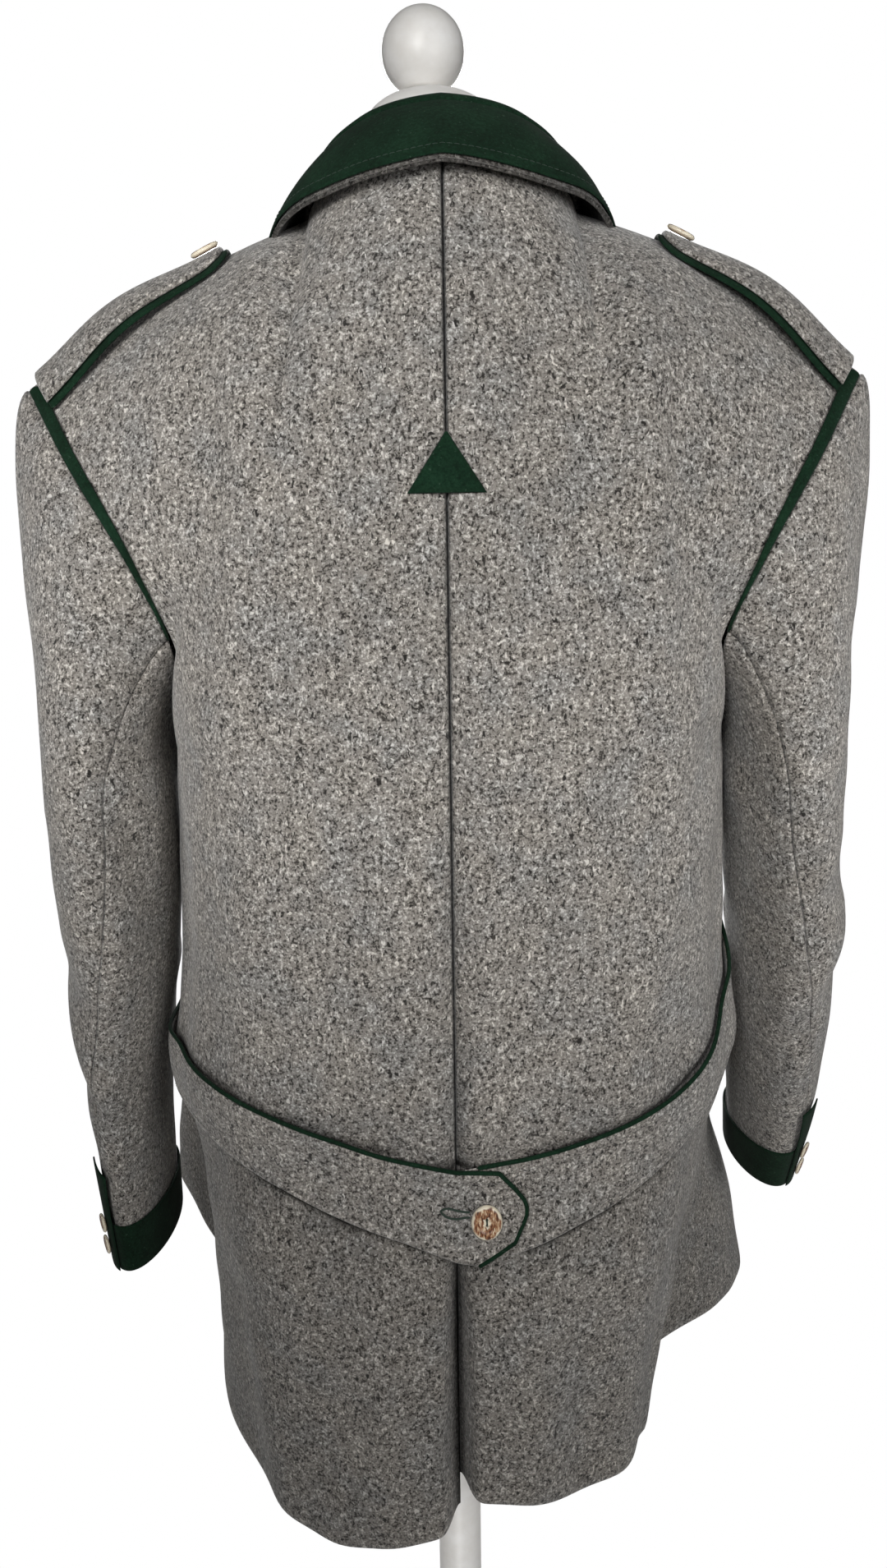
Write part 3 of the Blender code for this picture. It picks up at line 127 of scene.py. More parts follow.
def loden_finish(name, dark, body, light):
    """Fulled wool whose tufts mix three card colours."""
    made, tree, shader, place = new_finish(name)
    tufts = add(tree, "TexNoise", Vector=place, Scale=1 / (2 * TUFT), Detail=2.0, Roughness=0.6)
    fine = add(tree, "TexNoise", Vector=place, Scale=1 / TUFT, Detail=2.0, Roughness=0.7)
    mixed = add(tree, "MixRGB", Fac=0.5, Color1=tufts.outputs["Fac"], Color2=fine.outputs["Fac"])
    shade = add(tree, "ValToRGB", Fac=mixed.outputs["Color"],
                stops=((0.38, dark), (0.48, body), (0.55, body), (0.66, light)))
    lie = add(tree, "Mapping", Vector=place, Scale=(1.0, 1.0, 0.7), Rotation=(0.3, 0.2, 0.5))
    hairs = add(tree, "TexNoise", Vector=lie.outputs["Vector"], Scale=1 / HAIR, Detail=1.0,
                Distortion=0.8)
    pale = add(tree, "ValToRGB", Fac=hairs.outputs["Fac"], stops=((0.64, "#000000"), (0.72, "#ffffff")))
    black = add(tree, "ValToRGB", Fac=hairs.outputs["Fac"], stops=((0.30, "#ffffff"), (0.38, "#000000")))
    with_pale = add(tree, "MixRGB", Fac=pale.outputs["Color"], Color1=shade.outputs["Color"],
                    Color2=linear("#d6d2cc"))
    with_black = add(tree, "MixRGB", Fac=black.outputs["Color"], Color1=with_pale.outputs["Color"],
                     Color2=linear("#24211e"))
    drifts = add(tree, "TexNoise", Vector=place, Scale=1 / DRIFT, Detail=3.0, Roughness=0.6)
    tint = add(tree, "ValToRGB", Fac=drifts.outputs["Fac"],
               stops=((0.35, "#eef0f1"), (0.50, "#f6f5f3"), (0.65, "#fbf9f5")))
    blended = add(tree, "MixRGB", blend_type="MULTIPLY", Fac=1.0, Color1=with_black.outputs["Color"],
                  Color2=tint.outputs["Color"])
    # Painted shade: a number at every point darkens the colour to near black and takes the sheen away there,
    # where a seam or another piece would shade the cloth.
    painted_shade = add(tree, "Attribute", attribute_name="painted_shade")
    cloth = add(tree, "MixRGB", Fac=painted_shade.outputs["Fac"], Color1=blended.outputs["Color"],
                Color2=linear("#0d0c0b"))
    nap = add(tree, "Bump", Height=mixed.outputs["Color"], Strength=0.55, Distance=0.6 * MM)
    tree.links.new(cloth.outputs["Color"], shader.inputs["Base Color"])
    tree.links.new(nap.outputs["Normal"], shader.inputs["Normal"])
    shader.inputs["Roughness"].default_value = 0.95
    shader.inputs["Specular IOR Level"].default_value = 0.15
    sheen = add(tree, "MapRange", Value=painted_shade.outputs["Fac"], To_Min=0.30, To_Max=0.0)
    tree.links.new(sheen.outputs["Result"], shader.inputs["Sheen Weight"])
    shader.inputs["Sheen Roughness"].default_value = 0.55
    return made


loden = loden_finish("grey_melange_loden", "#3a3632", "#8a8681", "#cecac5")
print("loden tufts of", TUFT / MM, "mm")

# %% [markdown]
# ## Green felted cloth
#
# The collar, cuffs, bands, the triangle and all piping are a thinner wool cloth, dyed bottle
# green in the piece and felted and cropped smooth.  Its face is much more even than the loden:
# a soft mottling of the dye, a few pale specks of lint that dark wool always carries, and the
# same matt nap.

# %% Green cloth
FELT_GRAIN = 0.9 * MM
LINT = 1.6 * MM


def felt_finish(name, deep, body, high):
    """Cropped wool cloth dyed one colour, with lint on it."""
    made, tree, shader, place = new_finish(name)
    grain = add(tree, "TexNoise", Vector=place, Scale=1 / (2 * FELT_GRAIN), Detail=3.0, Roughness=0.7)
    dye = add(tree, "TexNoise", Vector=place, Scale=1 / (22 * MM), Detail=2.0)
    mixed = add(tree, "MixRGB", Fac=0.35, Color1=grain.outputs["Fac"], Color2=dye.outputs["Fac"])
    shade = add(tree, "ValToRGB", Fac=mixed.outputs["Color"],
                stops=((0.34, deep), (0.50, body), (0.68, high)))
    specks = add(tree, "TexNoise", Vector=place, Scale=1 / LINT, Detail=1.0)
    lint = add(tree, "ValToRGB", Fac=specks.outputs["Fac"], stops=((0.70, "#000000"), (0.76, "#8a8a8a")))
    cloth = add(tree, "MixRGB", Fac=lint.outputs["Color"], Color1=shade.outputs["Color"],
                Color2=linear("#55675a"))
    nap = add(tree, "Bump", Height=grain.outputs["Fac"], Strength=0.35, Distance=0.3 * MM)
    tree.links.new(cloth.outputs["Color"], shader.inputs["Base Color"])
    tree.links.new(nap.outputs["Normal"], shader.inputs["Normal"])
    shader.inputs["Roughness"].default_value = 0.92
    shader.inputs["Specular IOR Level"].default_value = 0.1
    shader.inputs["Sheen Weight"].default_value = 0.04
    shader.inputs["Sheen Roughness"].default_value = 0.5
    return made


green = felt_finish("bottle_green_wool", "#0b1a10", "#11281a", "#1b3625")
print("felt grain of", FELT_GRAIN / MM, "mm")

# %% [markdown]
# ## Staghorn
#
# The buttons are slices of a stag's antler, sawn across, turned and polished.  The bark of
# the antler stays brown at the ground, the cut shows cream bone with reddish-brown streaks,
# and the polish gives a soft gloss.  Each button carries two painted attributes: how near a
# point is to the worn rim or the dished middle, where the bone is pale, and where it is
# drilled, whose near-black colour is painted shade in place of the shadow in the holes.

# %% Staghorn
STREAK = 1.1 * MM


def horn_finish(name):
    """Polished antler: brown streaks on cream bone, pale where the bark is worn off."""
    made, tree, shader, place = new_finish(name)
    pulled = add(tree, "Mapping", Vector=place, Scale=(1.0, 0.22, 1.0))
    streaks = add(tree, "TexNoise", Vector=pulled.outputs["Vector"], Scale=1 / STREAK, Detail=3.0,
                  Roughness=0.65, Distortion=0.6)
    bark = add(tree, "ValToRGB", Fac=streaks.outputs["Fac"],
               stops=((0.38, "#3a1f14"), (0.47, "#7d4c33"), (0.56, "#b48a66"), (0.64, "#e6d5b8")))
    worn = add(tree, "Attribute", attribute_name="worn")
    bone = add(tree, "MixRGB", Fac=worn.outputs["Fac"], Color1=bark.outputs["Color"],
               Color2=linear("#efe4cc"))
    # Painted shade: the holes are coloured near black in place of the shadow inside them.
    painted_hole_shade = add(tree, "Attribute", attribute_name="painted_hole_shade")
    face = add(tree, "MixRGB", Fac=painted_hole_shade.outputs["Fac"], Color1=bone.outputs["Color"],
               Color2=linear("#1b120c"))
    cut = add(tree, "Bump", Height=streaks.outputs["Fac"], Strength=0.25, Distance=0.2 * MM)
    tree.links.new(face.outputs["Color"], shader.inputs["Base Color"])
    tree.links.new(cut.outputs["Normal"], shader.inputs["Normal"])
    shader.inputs["Roughness"].default_value = 0.32
    shader.inputs["IOR"].default_value = 1.54
    return made


horn = horn_finish("polished_staghorn")
print("antler streaks of", STREAK / MM, "mm")

# %% [markdown]
# ## Sewing thread, jersey and white lacquer
#
# Three quiet finishes.  Thread is twisted polyester, dull with a fine twist.  The form is
# covered with knitted cotton jersey, whose ribs are 1.2 mm apart here; real ones are 0.8 mm
# and would not show.  The pole, base and knob are lacquered white: smooth, with the faint
# orange-peel ripple of sprayed lacquer.

# %% Thread, jersey and lacquer
def thread_finish(name, card):
    """Twisted sewing thread."""
    made, tree, shader, place = new_finish(name)
    twist = add(tree, "TexNoise", Vector=place, Scale=1 / (0.6 * MM), Detail=2.0)
    shade = add(tree, "MixRGB", blend_type="MULTIPLY", Fac=0.5, Color1=linear(card),
                Color2=twist.outputs["Color"])
    tree.links.new(shade.outputs["Color"], shader.inputs["Base Color"])
    shader.inputs["Roughness"].default_value = 0.6
    shader.inputs["Sheen Weight"].default_value = 0.2
    return made


def jersey_finish(name):
    """Knitted cotton cover of the form."""
    made, tree, shader, place = new_finish(name)
    ribs = add(tree, "TexWave", Vector=place, bands_direction="X", Scale=1 / (1.2 * MM) / 20,
               Distortion=1.5, Detail=2.0, Detail_Scale=3.0)
    blotch = add(tree, "TexNoise", Vector=place, Scale=1 / (25 * MM), Detail=3.0)
    shade = add(tree, "ValToRGB", Fac=blotch.outputs["Fac"],
                stops=((0.3, "#dcd9d4"), (0.55, "#e9e7e3"), (0.75, "#f1f0ee")))
    knit = add(tree, "Bump", Height=ribs.outputs["Fac"], Strength=0.2, Distance=0.25 * MM)
    tree.links.new(shade.outputs["Color"], shader.inputs["Base Color"])
    tree.links.new(knit.outputs["Normal"], shader.inputs["Normal"])
    shader.inputs["Roughness"].default_value = 0.85
    shader.inputs["Sheen Weight"].default_value = 0.2
    return made


def lacquer_finish(name):
    """Sprayed white lacquer with light handling marks."""
    made, tree, shader, place = new_finish(name)
    peel = add(tree, "TexNoise", Vector=place, Scale=1 / (3 * MM), Detail=1.0)
    marks = add(tree, "TexNoise", Vector=place, Scale=1 / (18 * MM), Detail=4.0, Roughness=0.6)
    shade = add(tree, "ValToRGB", Fac=marks.outputs["Fac"],
                stops=((0.3, "#e4e1dc"), (0.6, "#efedea"), (0.8, "#f5f4f2")))
    gloss = add(tree, "MapRange", Value=marks.outputs["Fac"], To_Min=0.32, To_Max=0.50)
    ripple = add(tree, "Bump", Height=peel.outputs["Fac"], Strength=0.08, Distance=0.1 * MM)
    tree.links.new(shade.outputs["Color"], shader.inputs["Base Color"])
    tree.links.new(gloss.outputs["Result"], shader.inputs["Roughness"])
    tree.links.new(ripple.outputs["Normal"], shader.inputs["Normal"])
    shader.inputs["Coat Weight"].default_value = 0.25
    shader.inputs["Coat Roughness"].default_value = 0.2
    return made


thread_grey = thread_finish("grey_sewing_thread", "#6d6a66")
thread_green = thread_finish("green_sewing_thread", "#1c3526")
jersey = jersey_finish("white_cotton_jersey")
lacquer = lacquer_finish("white_lacquer")
print("finishes:", [m.name for m in bpy.data.materials if m.use_nodes])

# %% [markdown]
# ## The cut of the body
#
# A coat body is drafted as level sections.  Each half section runs from the centre back round
# the side to the free front edge, and seven named points on it are given at six heights.  The
# solids were lofted through the same table, so the finer shells land on the same form.

# %% Sections, hem and folds
LODEN = 0.0026          # fulled loden, one layer
FELT = 0.0016           # green cloth of the collar, bands and piping
GAP = 0.0003            # between neighbouring pieces
SEAM_STAND = 0.0005     # between the armhole edge and the sleeve head
ARMPIT = 1.200
BELT_LINE = 0.928       # middle of the half belt at the centre back
SIDES = {"left": 1.0, "right": -1.0}
SECTION_COLUMNS = ("height", "back_y", "corner_x", "corner_y", "side_x", "side_y",
                   "seam_x", "seam_y", "flare_x", "flare_y", "lobe_x", "lobe_y",
                   "edge_x", "edge_y")
SECTIONS = {
    "left": (
        (1.200, .150, .120, .125, .175, .046, .180, -.022, .164, -.088, .116, -.136, .050, -.158),
        (1.080, .147, .122, .121, .179, .042, .185, -.025, .180, -.095, .150, -.155, .080, -.188),
        (0.955, .138, .120, .114, .184, .036, .190, -.026, .200, -.102, .205, -.178, .125, -.232),
        (0.870, .141, .112, .122, .169, .038, .179, -.026, .198, -.104, .238, -.200, .166, -.268),
        (0.790, .142, .100, .127, .165, .036, .180, -.030, .194, -.106, .253, -.222, .200, -.294),
        (0.690, .140, .088, .131, .162, .033, .182, -.034, .190, -.110, .262, -.244, .230, -.318),
    ),
    "right": (
        (1.200, .150, .120, .125, .175, .046, .180, -.022, .164, -.088, .116, -.136, .050, -.158),
        (1.080, .147, .122, .121, .179, .042, .185, -.025, .180, -.095, .150, -.155, .080, -.188),
        (0.955, .138, .119, .113, .181, .038, .192, -.026, .204, -.095, .205, -.170, .122, -.226),
        (0.870, .141, .114, .117, .160, .040, .178, -.022, .204, -.085, .212, -.166, .150, -.250),
        (0.790, .141, .110, .109, .142, .038, .162, -.020, .211, -.076, .234, -.160, .178, -.262),
        (0.690, .139, .104, .102, .127, .035, .146, -.019, .212, -.067, .250, -.152, .200, -.274),
    ),
}
SECTION_KNOTS = (0.0, 0.18, 0.36, 0.50, 0.64, 0.82, 1.0)
SIDE_SEAM = 0.50
HEM_COLUMNS = ("along", "height")
HEM = {
    "left": ((0.0, .704), (.10, .693), (.30, .702), (.50, .712), (.66, .742), (.80, .768), (1.0, .764)),
    "right": ((0.0, .727), (.10, .715), (.30, .719), (.50, .722), (.80, .724), (1.0, .726)),
}
FOLD_COLUMNS = ("side", "along", "top", "bottom", "depth", "width")
FOLDS = (
    ("left", .235, .860, .700, .0050, .030),
    ("left", .120, .840, .690, -.0045, .040),
    ("right", .300, .880, .700, .0060, .024),
    ("right", .140, .820, .700, -.0040, .040),
    ("left", .330, 1.180, 1.000, -.0030, .040),
    ("right", .330, 1.180, 1.000, -.0030, .040),
)
BELT_NIP = 0.004        # the belt draws the cloth in
BLOUSE = 0.004          # and the back blouses over it
PLEAT_TOP = 1.350       # the inverted pleat starts below the triangle
PLEAT_WIDTH = 0.0075
PLEAT_DEPTH = 0.0050
VENT_DEPTH = 0.0090
print("body heights:", [row[0] for row in SECTIONS["left"]])

# %% [markdown]
# ## Smooth lines through few points
#
# A tailor draws a seam through a handful of marks with a French curve.  A cubic through the
# named points does the same: it passes through each and has no corner.

# %% Curves
def spline(knots, values, at, level_start=False):
    """Smooth curve through values at knots; a level start leaves along x alone."""
    knots = np.asarray(knots, float)
    values = np.asarray(values, float)
    at = np.asarray(at, float)
    step = np.diff(knots)
    slope = np.diff(values, axis=0) / step.reshape((-1,) + (1,) * (values.ndim - 1))
    tangent = np.empty_like(values)
    tangent[0] = slope[0] * (1.1, 0.0, 0.0) if level_start else slope[0]
    tangent[-1] = slope[-1]
    for k in range(1, len(knots) - 1):
        tangent[k] = (slope[k - 1] * step[k] + slope[k] * step[k - 1]) / (step[k] + step[k - 1])
    cell = np.clip(np.searchsorted(knots, at, side="right") - 1, 0, len(step) - 1)
    width = step[cell]
    s = (at - knots[cell]) / width
    extra = (1,) * (values.ndim - 1)
    s = s.reshape(s.shape + extra)
    width = width.reshape(width.shape + extra)
    return ((2 * s**3 - 3 * s**2 + 1) * values[cell] + (s**3 - 2 * s**2 + s) * width * tangent[cell]
            + (3 * s**2 - 2 * s**3) * values[cell + 1] + (s**3 - s**2) * width * tangent[cell + 1])


def hermite(start, end, leave, arrive, v):
    """Cubic from start to end with the two end tangents."""
    v = np.asarray(v, float)[..., None]
    return ((2 * v**3 - 3 * v**2 + 1) * start + (v**3 - 2 * v**2 + v) * leave
            + (3 * v**2 - 2 * v**3) * end + (v**3 - v**2) * arrive)


def even_curve(points, at):
    """Smooth curve through points, its knots spaced by their distances."""
    points = np.asarray(points, float)
    run = np.concatenate([[0.0], np.cumsum(np.linalg.norm(np.diff(points, axis=0), axis=1))])
    return spline(run / run[-1], points, at)


def unit(vectors):
    length = np.linalg.norm(vectors, axis=-1, keepdims=True)
    return vectors / np.maximum(length, 1e-12)


def smooth(x):
    x = np.clip(x, 0.0, 1.0)
    return x * x * (3 - 2 * x)


def mirrored(points, side):
    return np.asarray(points, float) * np.array([SIDES[side], 1.0, 1.0])


print("halfway along a hem:", round(float(spline((0, 1), (0.70, 0.76), 0.5)), 3), "m")

# %% [markdown]
# ## The body below the arms
#
# Soft upright folds are bells along the half section.  The half belt nips the back in and the
# cloth blouses above it.  At the centre back the cloth rolls inward: the inverted pleat above
# the belt, and the vent below it.

# %% Body surface below the arms
def section_points(side, height):
    """The seven named points of a half section at each height, as (..., 7, 2)."""
    rows = np.array(sorted(SECTIONS[side]))
    found = spline(rows[:, 0], rows[:, 1:], np.clip(height, rows[0, 0], rows[-1, 0]))
    centre = np.stack([np.zeros_like(found[..., 0]), found[..., 0]], axis=-1)
    others = found[..., 1:].reshape(found.shape[:-1] + (6, 2))
    return np.concatenate([centre[..., None, :], others], axis=-2)


def half_section(side, along, height):
    """A point of the half section, x outward: a smooth curve through its named points."""
    named = section_points(side, height)
    knots = np.array(SECTION_KNOTS)
    step = np.diff(knots)
    slope = np.diff(named, axis=-2) / step[:, None]
    tangent = np.empty_like(named)
    tangent[..., 0, :] = slope[..., 0, :] * np.array([1.15, 0.0])
    tangent[..., -1, :] = slope[..., -1, :]
    inner = (slope[..., :-1, :] * step[1:, None] + slope[..., 1:, :] * step[:-1, None])
    tangent[..., 1:-1, :] = inner / (step[1:] + step[:-1])[:, None]
    cell = np.clip(np.searchsorted(knots, along, side="right") - 1, 0, len(step) - 1)
    width = step[cell][..., None]
    s = ((along - knots[cell]) / step[cell])[..., None]
    pick = cell[..., None, None]
    p0 = np.take_along_axis(named, pick, axis=-2)[..., 0, :]
    p1 = np.take_along_axis(named, pick + 1, axis=-2)[..., 0, :]
    m0 = np.take_along_axis(tangent, pick, axis=-2)[..., 0, :]
    m1 = np.take_along_axis(tangent, pick + 1, axis=-2)[..., 0, :]
    return ((2 * s**3 - 3 * s**2 + 1) * p0 + (s**3 - 2 * s**2 + s) * width * m0
            + (3 * s**2 - 2 * s**3) * p1 + (s**3 - s**2) * width * m1)


def body_point(side, along, height, creased=True):
    """Outer surface of the body at a share of the half section and a height."""
    along = np.asarray(along, float)
    height = np.asarray(height, float) + 0.0 * along
    along = along + 0.0 * height
    flat = half_section(side, along, height)
    outward = unit(flat - np.array([0.0, -0.03]))
    push = np.zeros_like(along)
    for fold_side, place, top, bottom, depth, width in FOLDS:
        if fold_side == side:
            span = smooth((top - height) / 0.06) * smooth((height - bottom) / 0.06 + 1.0)
            push = push + depth * span * np.exp(-((along - place) / width) ** 2)
    above = (height - BELT_LINE - 0.062) / 0.028
    push = push + BLOUSE * np.exp(-above**2) - BELT_NIP * np.exp(-((height - BELT_LINE) / 0.03) ** 2)
    flat = flat + outward * push[..., None]
    if creased:
        deep = PLEAT_DEPTH * smooth((PLEAT_TOP - height) / 0.05)
        deep = deep + VENT_DEPTH * smooth((BELT_LINE - 0.03 - height) / 0.06)
        roll = deep * np.exp(-(flat[..., 0] / PLEAT_WIDTH) ** 2)
        flat = flat - roll[..., None] * np.array([0.0, 1.0])
    point = np.concatenate([flat, height[..., None]], axis=-1)
    return mirrored(point, side)


def hem_height(side, along):
    rows = np.array(HEM[side])
    return spline(rows[:, 0], rows[:, 1], along)


print("centre back at the belt:", np.round(body_point("left", 0.0, BELT_LINE), 3).tolist())

# %% [markdown]
# ## Neckline, shoulder and armhole
#
# Above the arms each panel is spanned by upright columns, from the level line at the armpit to
# the neckline or the shoulder seam.  The columns lean forward over the shoulder, and the
# panel's outer side is pulled onto the armhole's curve.

# %% Body surface above the arms
NECKLINE_COLUMNS = ("x", "y", "z")
NECKLINE = ((.000, .108, 1.530), (.052, .092, 1.526), (.080, .045, 1.516),
            (.078, -.035, 1.485), (.052, -.110, 1.437))
SHOULDER = ((.080, .045, 1.516), (.140, .045, 1.489), (.200, .045, 1.457), (.254, .045, 1.421))
ARMHOLE_BACK = ((.180, -.022, 1.200), (.1740, .034, 1.232), (.1680, .078, 1.268),
                (.185, .097, 1.312), (.220, .084, 1.368), (.254, .045, 1.421))
ARMHOLE_FRONT = ((.180, -.022, 1.200), (.172, -.072, 1.240), (.178, -.094, 1.290),
                 (.202, -.078, 1.345), (.233, -.030, 1.394), (.254, .045, 1.421))
NECK_SHARE = 0.34       # share of the back panel's top edge that is neckline
SHOULDER_SHARE = 0.50   # share of the front panel's top edge that is shoulder seam
STEADY_BACK = 0.80      # normals beyond these shares of the panels stay the same
STEADY_FRONT = 0.12
def neckline(side, along):
    return mirrored(half_neckline(along), side)


def half_neckline(along):
    return spline((0.0, .25, .5, .75, 1.0), NECKLINE, along, level_start=True)


def shoulder(side, along):
    return mirrored(even_curve(SHOULDER, along), side)


def armhole(side, half, rise):
    """Armhole edge from the underarm, rise 0, to the shoulder tip, rise 1."""
    return mirrored(even_curve(ARMHOLE_BACK if half == "back" else ARMHOLE_FRONT, rise), side)


def column(bottom, below, top, lean, v):
    length = np.linalg.norm(top - bottom, axis=-1, keepdims=True)
    return hermite(bottom, top, below * length, lean * length, v)


def back_upper(side, u, v, creased=True):
    """Back between armpit and neck or shoulder; u from the centre to the armhole."""
    u, v = np.broadcast_arrays(np.asarray(u, float), np.asarray(v, float))
    along = u * SIDE_SEAM
    bottom = body_point(side, along, np.full_like(u, ARMPIT), creased)
    below = unit(bottom - body_point(side, along, np.full_like(u, ARMPIT - 0.01), creased))
    neck = neckline(side, 0.5 * np.clip(u / NECK_SHARE, 0, 1))
    seam = shoulder(side, np.clip((u - NECK_SHARE) / (1 - NECK_SHARE), 0, 1))
    on_neck = (u < NECK_SHARE)[..., None]
    top = np.where(on_neck, neck, seam)
    turn = smooth((u - 0.10) / 0.40)[..., None]
    lean = (1 - turn) * np.array([0.0, -0.42, 0.80]) + turn * np.array([0.0, -1.10, 0.0])
    point = column(bottom, below, top, lean, v)
    edge_bottom = body_point(side, np.full_like(u, SIDE_SEAM), np.full_like(u, ARMPIT))
    edge_top = shoulder(side, np.ones_like(u))
    edge = column(edge_bottom, np.array([0.0, 0.0, 1.0]), edge_top, np.array([0.0, -1.10, 0.0]), v)
    pull = u**1.3 * smooth(u / 0.6)
    return point + pull[..., None] * (armhole(side, "back", v) - edge)


def front_upper(side, u, v):
    """Front between armpit and shoulder or neck; u from the armhole to the front edge."""
    u, v = np.broadcast_arrays(np.asarray(u, float), np.asarray(v, float))
    along = SIDE_SEAM + u * (1 - SIDE_SEAM)
    bottom = body_point(side, along, np.full_like(u, ARMPIT))
    below = unit(bottom - body_point(side, along, np.full_like(u, ARMPIT - 0.01)))
    seam = shoulder(side, 1 - np.clip(u / SHOULDER_SHARE, 0, 1))
    neck = neckline(side, 0.5 + 0.5 * np.clip((u - SHOULDER_SHARE) / (1 - SHOULDER_SHARE), 0, 1))
    top = np.where((u < SHOULDER_SHARE)[..., None], seam, neck)
    turn = smooth((u - 0.40) / 0.45)[..., None]
    lean = (1 - turn) * np.array([0.0, 1.10, 0.0]) + turn * np.array([0.0, 0.20, 0.90])
    point = column(bottom, below, top, lean, v)
    edge_bottom = body_point(side, np.full_like(u, SIDE_SEAM), np.full_like(u, ARMPIT))
    edge_top = shoulder(side, np.ones_like(u))
    edge = column(edge_bottom, np.array([0.0, 0.0, 1.0]), edge_top, np.array([0.0, 1.10, 0.0]), v)
    return point + ((1 - u) ** 3)[..., None] * (armhole(side, "front", v) - edge)


def back_surface(side, u, h, creased=True):
    """The whole back panel: h from -1 at the hem over 0 at the armpit to 1 at the top."""
    u, h = np.broadcast_arrays(np.asarray(u, float), np.asarray(h, float))
    along = u * SIDE_SEAM
    hem = hem_height(side, along)
    low = body_point(side, along, ARMPIT + np.minimum(h, 0) * (ARMPIT - hem), creased)
    high = back_upper(side, np.clip(u, 0, 1), np.clip(h, 0, 1), creased)
    return np.where((h <= 0)[..., None], low, high)


def front_surface(side, u, h):
    u, h = np.broadcast_arrays(np.asarray(u, float), np.asarray(h, float))
    along = SIDE_SEAM + u * (1 - SIDE_SEAM)
    hem = hem_height(side, np.clip(along, 0, 1))
    low = body_point(side, along, ARMPIT + np.minimum(h, 0) * (ARMPIT - hem))
    high = front_upper(side, np.clip(u, 0, 1), np.clip(h, 0, 1))
    return np.where((h <= 0)[..., None], low, high)


def normals(surface, side, u, h, step=2e-4):
    """Outward normals of a panel; along the armhole they are taken a little way in."""
    inset = np.minimum(u, STEADY_BACK) if surface is back_surface else np.maximum(u, STEADY_FRONT)
    u = u + (inset - u) * smooth(h / 0.1)
    du = surface(side, u + step, h) - surface(side, u - step, h)
    dh = surface(side, u, h + step) - surface(side, u, h - step)
    return unit(np.cross(dh, du)) * SIDES[side]


print("shoulder tip:", np.round(shoulder("left", 1.0), 3).tolist())

# %% [markdown]
# ## Creases
#
# Heavy loden doesn't wrinkle finely.  It has broad, soft troughs and ridges, where it hangs
# from the shoulder blades and where it is drawn in.  Each one is a short line across the piece
# with a height and a width, and they are uneven on purpose.  On top of them the whole face is
# slightly unlevel, as fulled cloth is: a few waves in fixed directions, less than a millimetre
# high, do that the same way at every run.

# %% Troughs, ridges and unlevel cloth
CREASE_COLUMNS = ("start_x", "start_z", "end_x", "end_z", "height", "width")
BACK_CREASES = (
    (.134, 1.400, .138, 1.250, -.0040, .016),
    (.118, 1.300, .150, 1.180, .0026, .018),
    (-.130, 1.385, -.142, 1.250, -.0048, .016),
    (-.112, 1.270, -.150, 1.160, .0030, .020),
    (-.160, 1.200, -.100, 1.090, -.0022, .016),
    (.070, 1.430, .086, 1.340, .0020, .024),
    (-.060, 1.420, -.085, 1.330, -.0022, .022),
    (.045, 1.180, .085, 1.060, -.0018, .020),
    (.120, 1.120, .135, 1.010, .0026, .018),
    (-.050, 1.150, -.035, 1.010, -.0020, .018),
    (-.112, 1.120, -.100, 1.000, .0028, .020),
    (.020, 1.040, .110, 1.000, .0020, .012),
    (-.015, 1.020, -.105, .998, .0018, .012),
    (.040, .870, .052, .720, .0024, .014),
    (.078, .860, .092, .715, -.0026, .014),
    (-.044, .860, -.050, .735, .0022, .013),
    (-.076, .850, -.078, .740, -.0024, .012),
    (.150, 1.020, .160, .900, -.0024, .014),
    (-.146, 1.010, -.160, .905, -.0024, .014),
)
FRONT_CREASES = (
    (.120, 1.400, .140, 1.260, -.0030, .018),
    (.090, 1.250, .150, 1.130, .0028, .020),
    (.150, 1.180, .120, 1.060, -.0026, .018),
    (.170, 1.050, .200, .900, .0028, .020),
    (.220, .960, .225, .800, -.0030, .020),
    (-.125, 1.390, -.140, 1.255, -.0030, .018),
    (-.095, 1.245, -.150, 1.140, .0026, .020),
    (-.155, 1.170, -.125, 1.050, -.0024, .018),
    (-.165, 1.040, -.190, .880, .0030, .020),
    (-.205, .930, -.200, .790, -.0028, .018),
)


def crease_push(points, table, first=0, second=2):
    """Height of the creases at points, seen along the remaining axis."""
    place = points[..., (first, second)]
    push = np.zeros(points.shape[:-1])
    for start_x, start_z, end_x, end_z, height, width in table:
        start = np.array([start_x, start_z])
        run = np.array([end_x, end_z]) - start
        share = np.sum((place - start) * run, axis=-1) / np.sum(run * run)
        foot = start + np.clip(share, 0, 1)[..., None] * run
        apart = np.linalg.norm(place - foot, axis=-1)
        push += height * np.exp(-(apart / width) ** 2)
    return push


def unlevel(points, size, seed, waves=14):
    """Smooth unevenness between about -1 and 1, from waves of about the given length."""
    dice = np.random.default_rng(seed)
    heading = unit(dice.normal(size=(waves, 3)))
    length = size * dice.uniform(0.7, 1.6, waves)
    phase = dice.uniform(0, 2 * math.pi, waves)
    angle = points @ (heading / length[:, None]).T * 2 * math.pi + phase
    return np.sin(angle).sum(axis=-1) / math.sqrt(waves)


print("creases on the back:", len(BACK_CREASES), "on the fronts:", len(FRONT_CREASES))

# %% [markdown]
# ## A cloth shell
#
# A cloth piece has two faces and a cut edge between them.  Both faces are grids of points with
# the same rows and columns.  Along the border the faces draw in a little and a middle line
# carries the edge, so that smooth shading shows it rounded.  The size that the piece was cut
# to is measured on its own outer face: the longest row, the longest column and the area.

# %% Make a shell and measure its cut
COLLECTION = bpy.data.collections.new("dressed_jacket")
bpy.context.scene.collection.children.link(COLLECTION)
ROUND = 0.36              # share of the thickness that the faces draw in at a cut edge


def border_loops(rows, cols, closed):
    """Grid places round each border, in order."""
    if closed:
        return [[(0, j) for j in range(cols)], [(rows - 1, j) for j in range(cols)]]
    loop = [(0, j) for j in range(cols)] + [(i, cols - 1) for i in range(1, rows)]
    loop += [(rows - 1, j) for j in range(cols - 2, -1, -1)] + [(i, 0) for i in range(rows - 2, 0, -1)]
    return [loop]


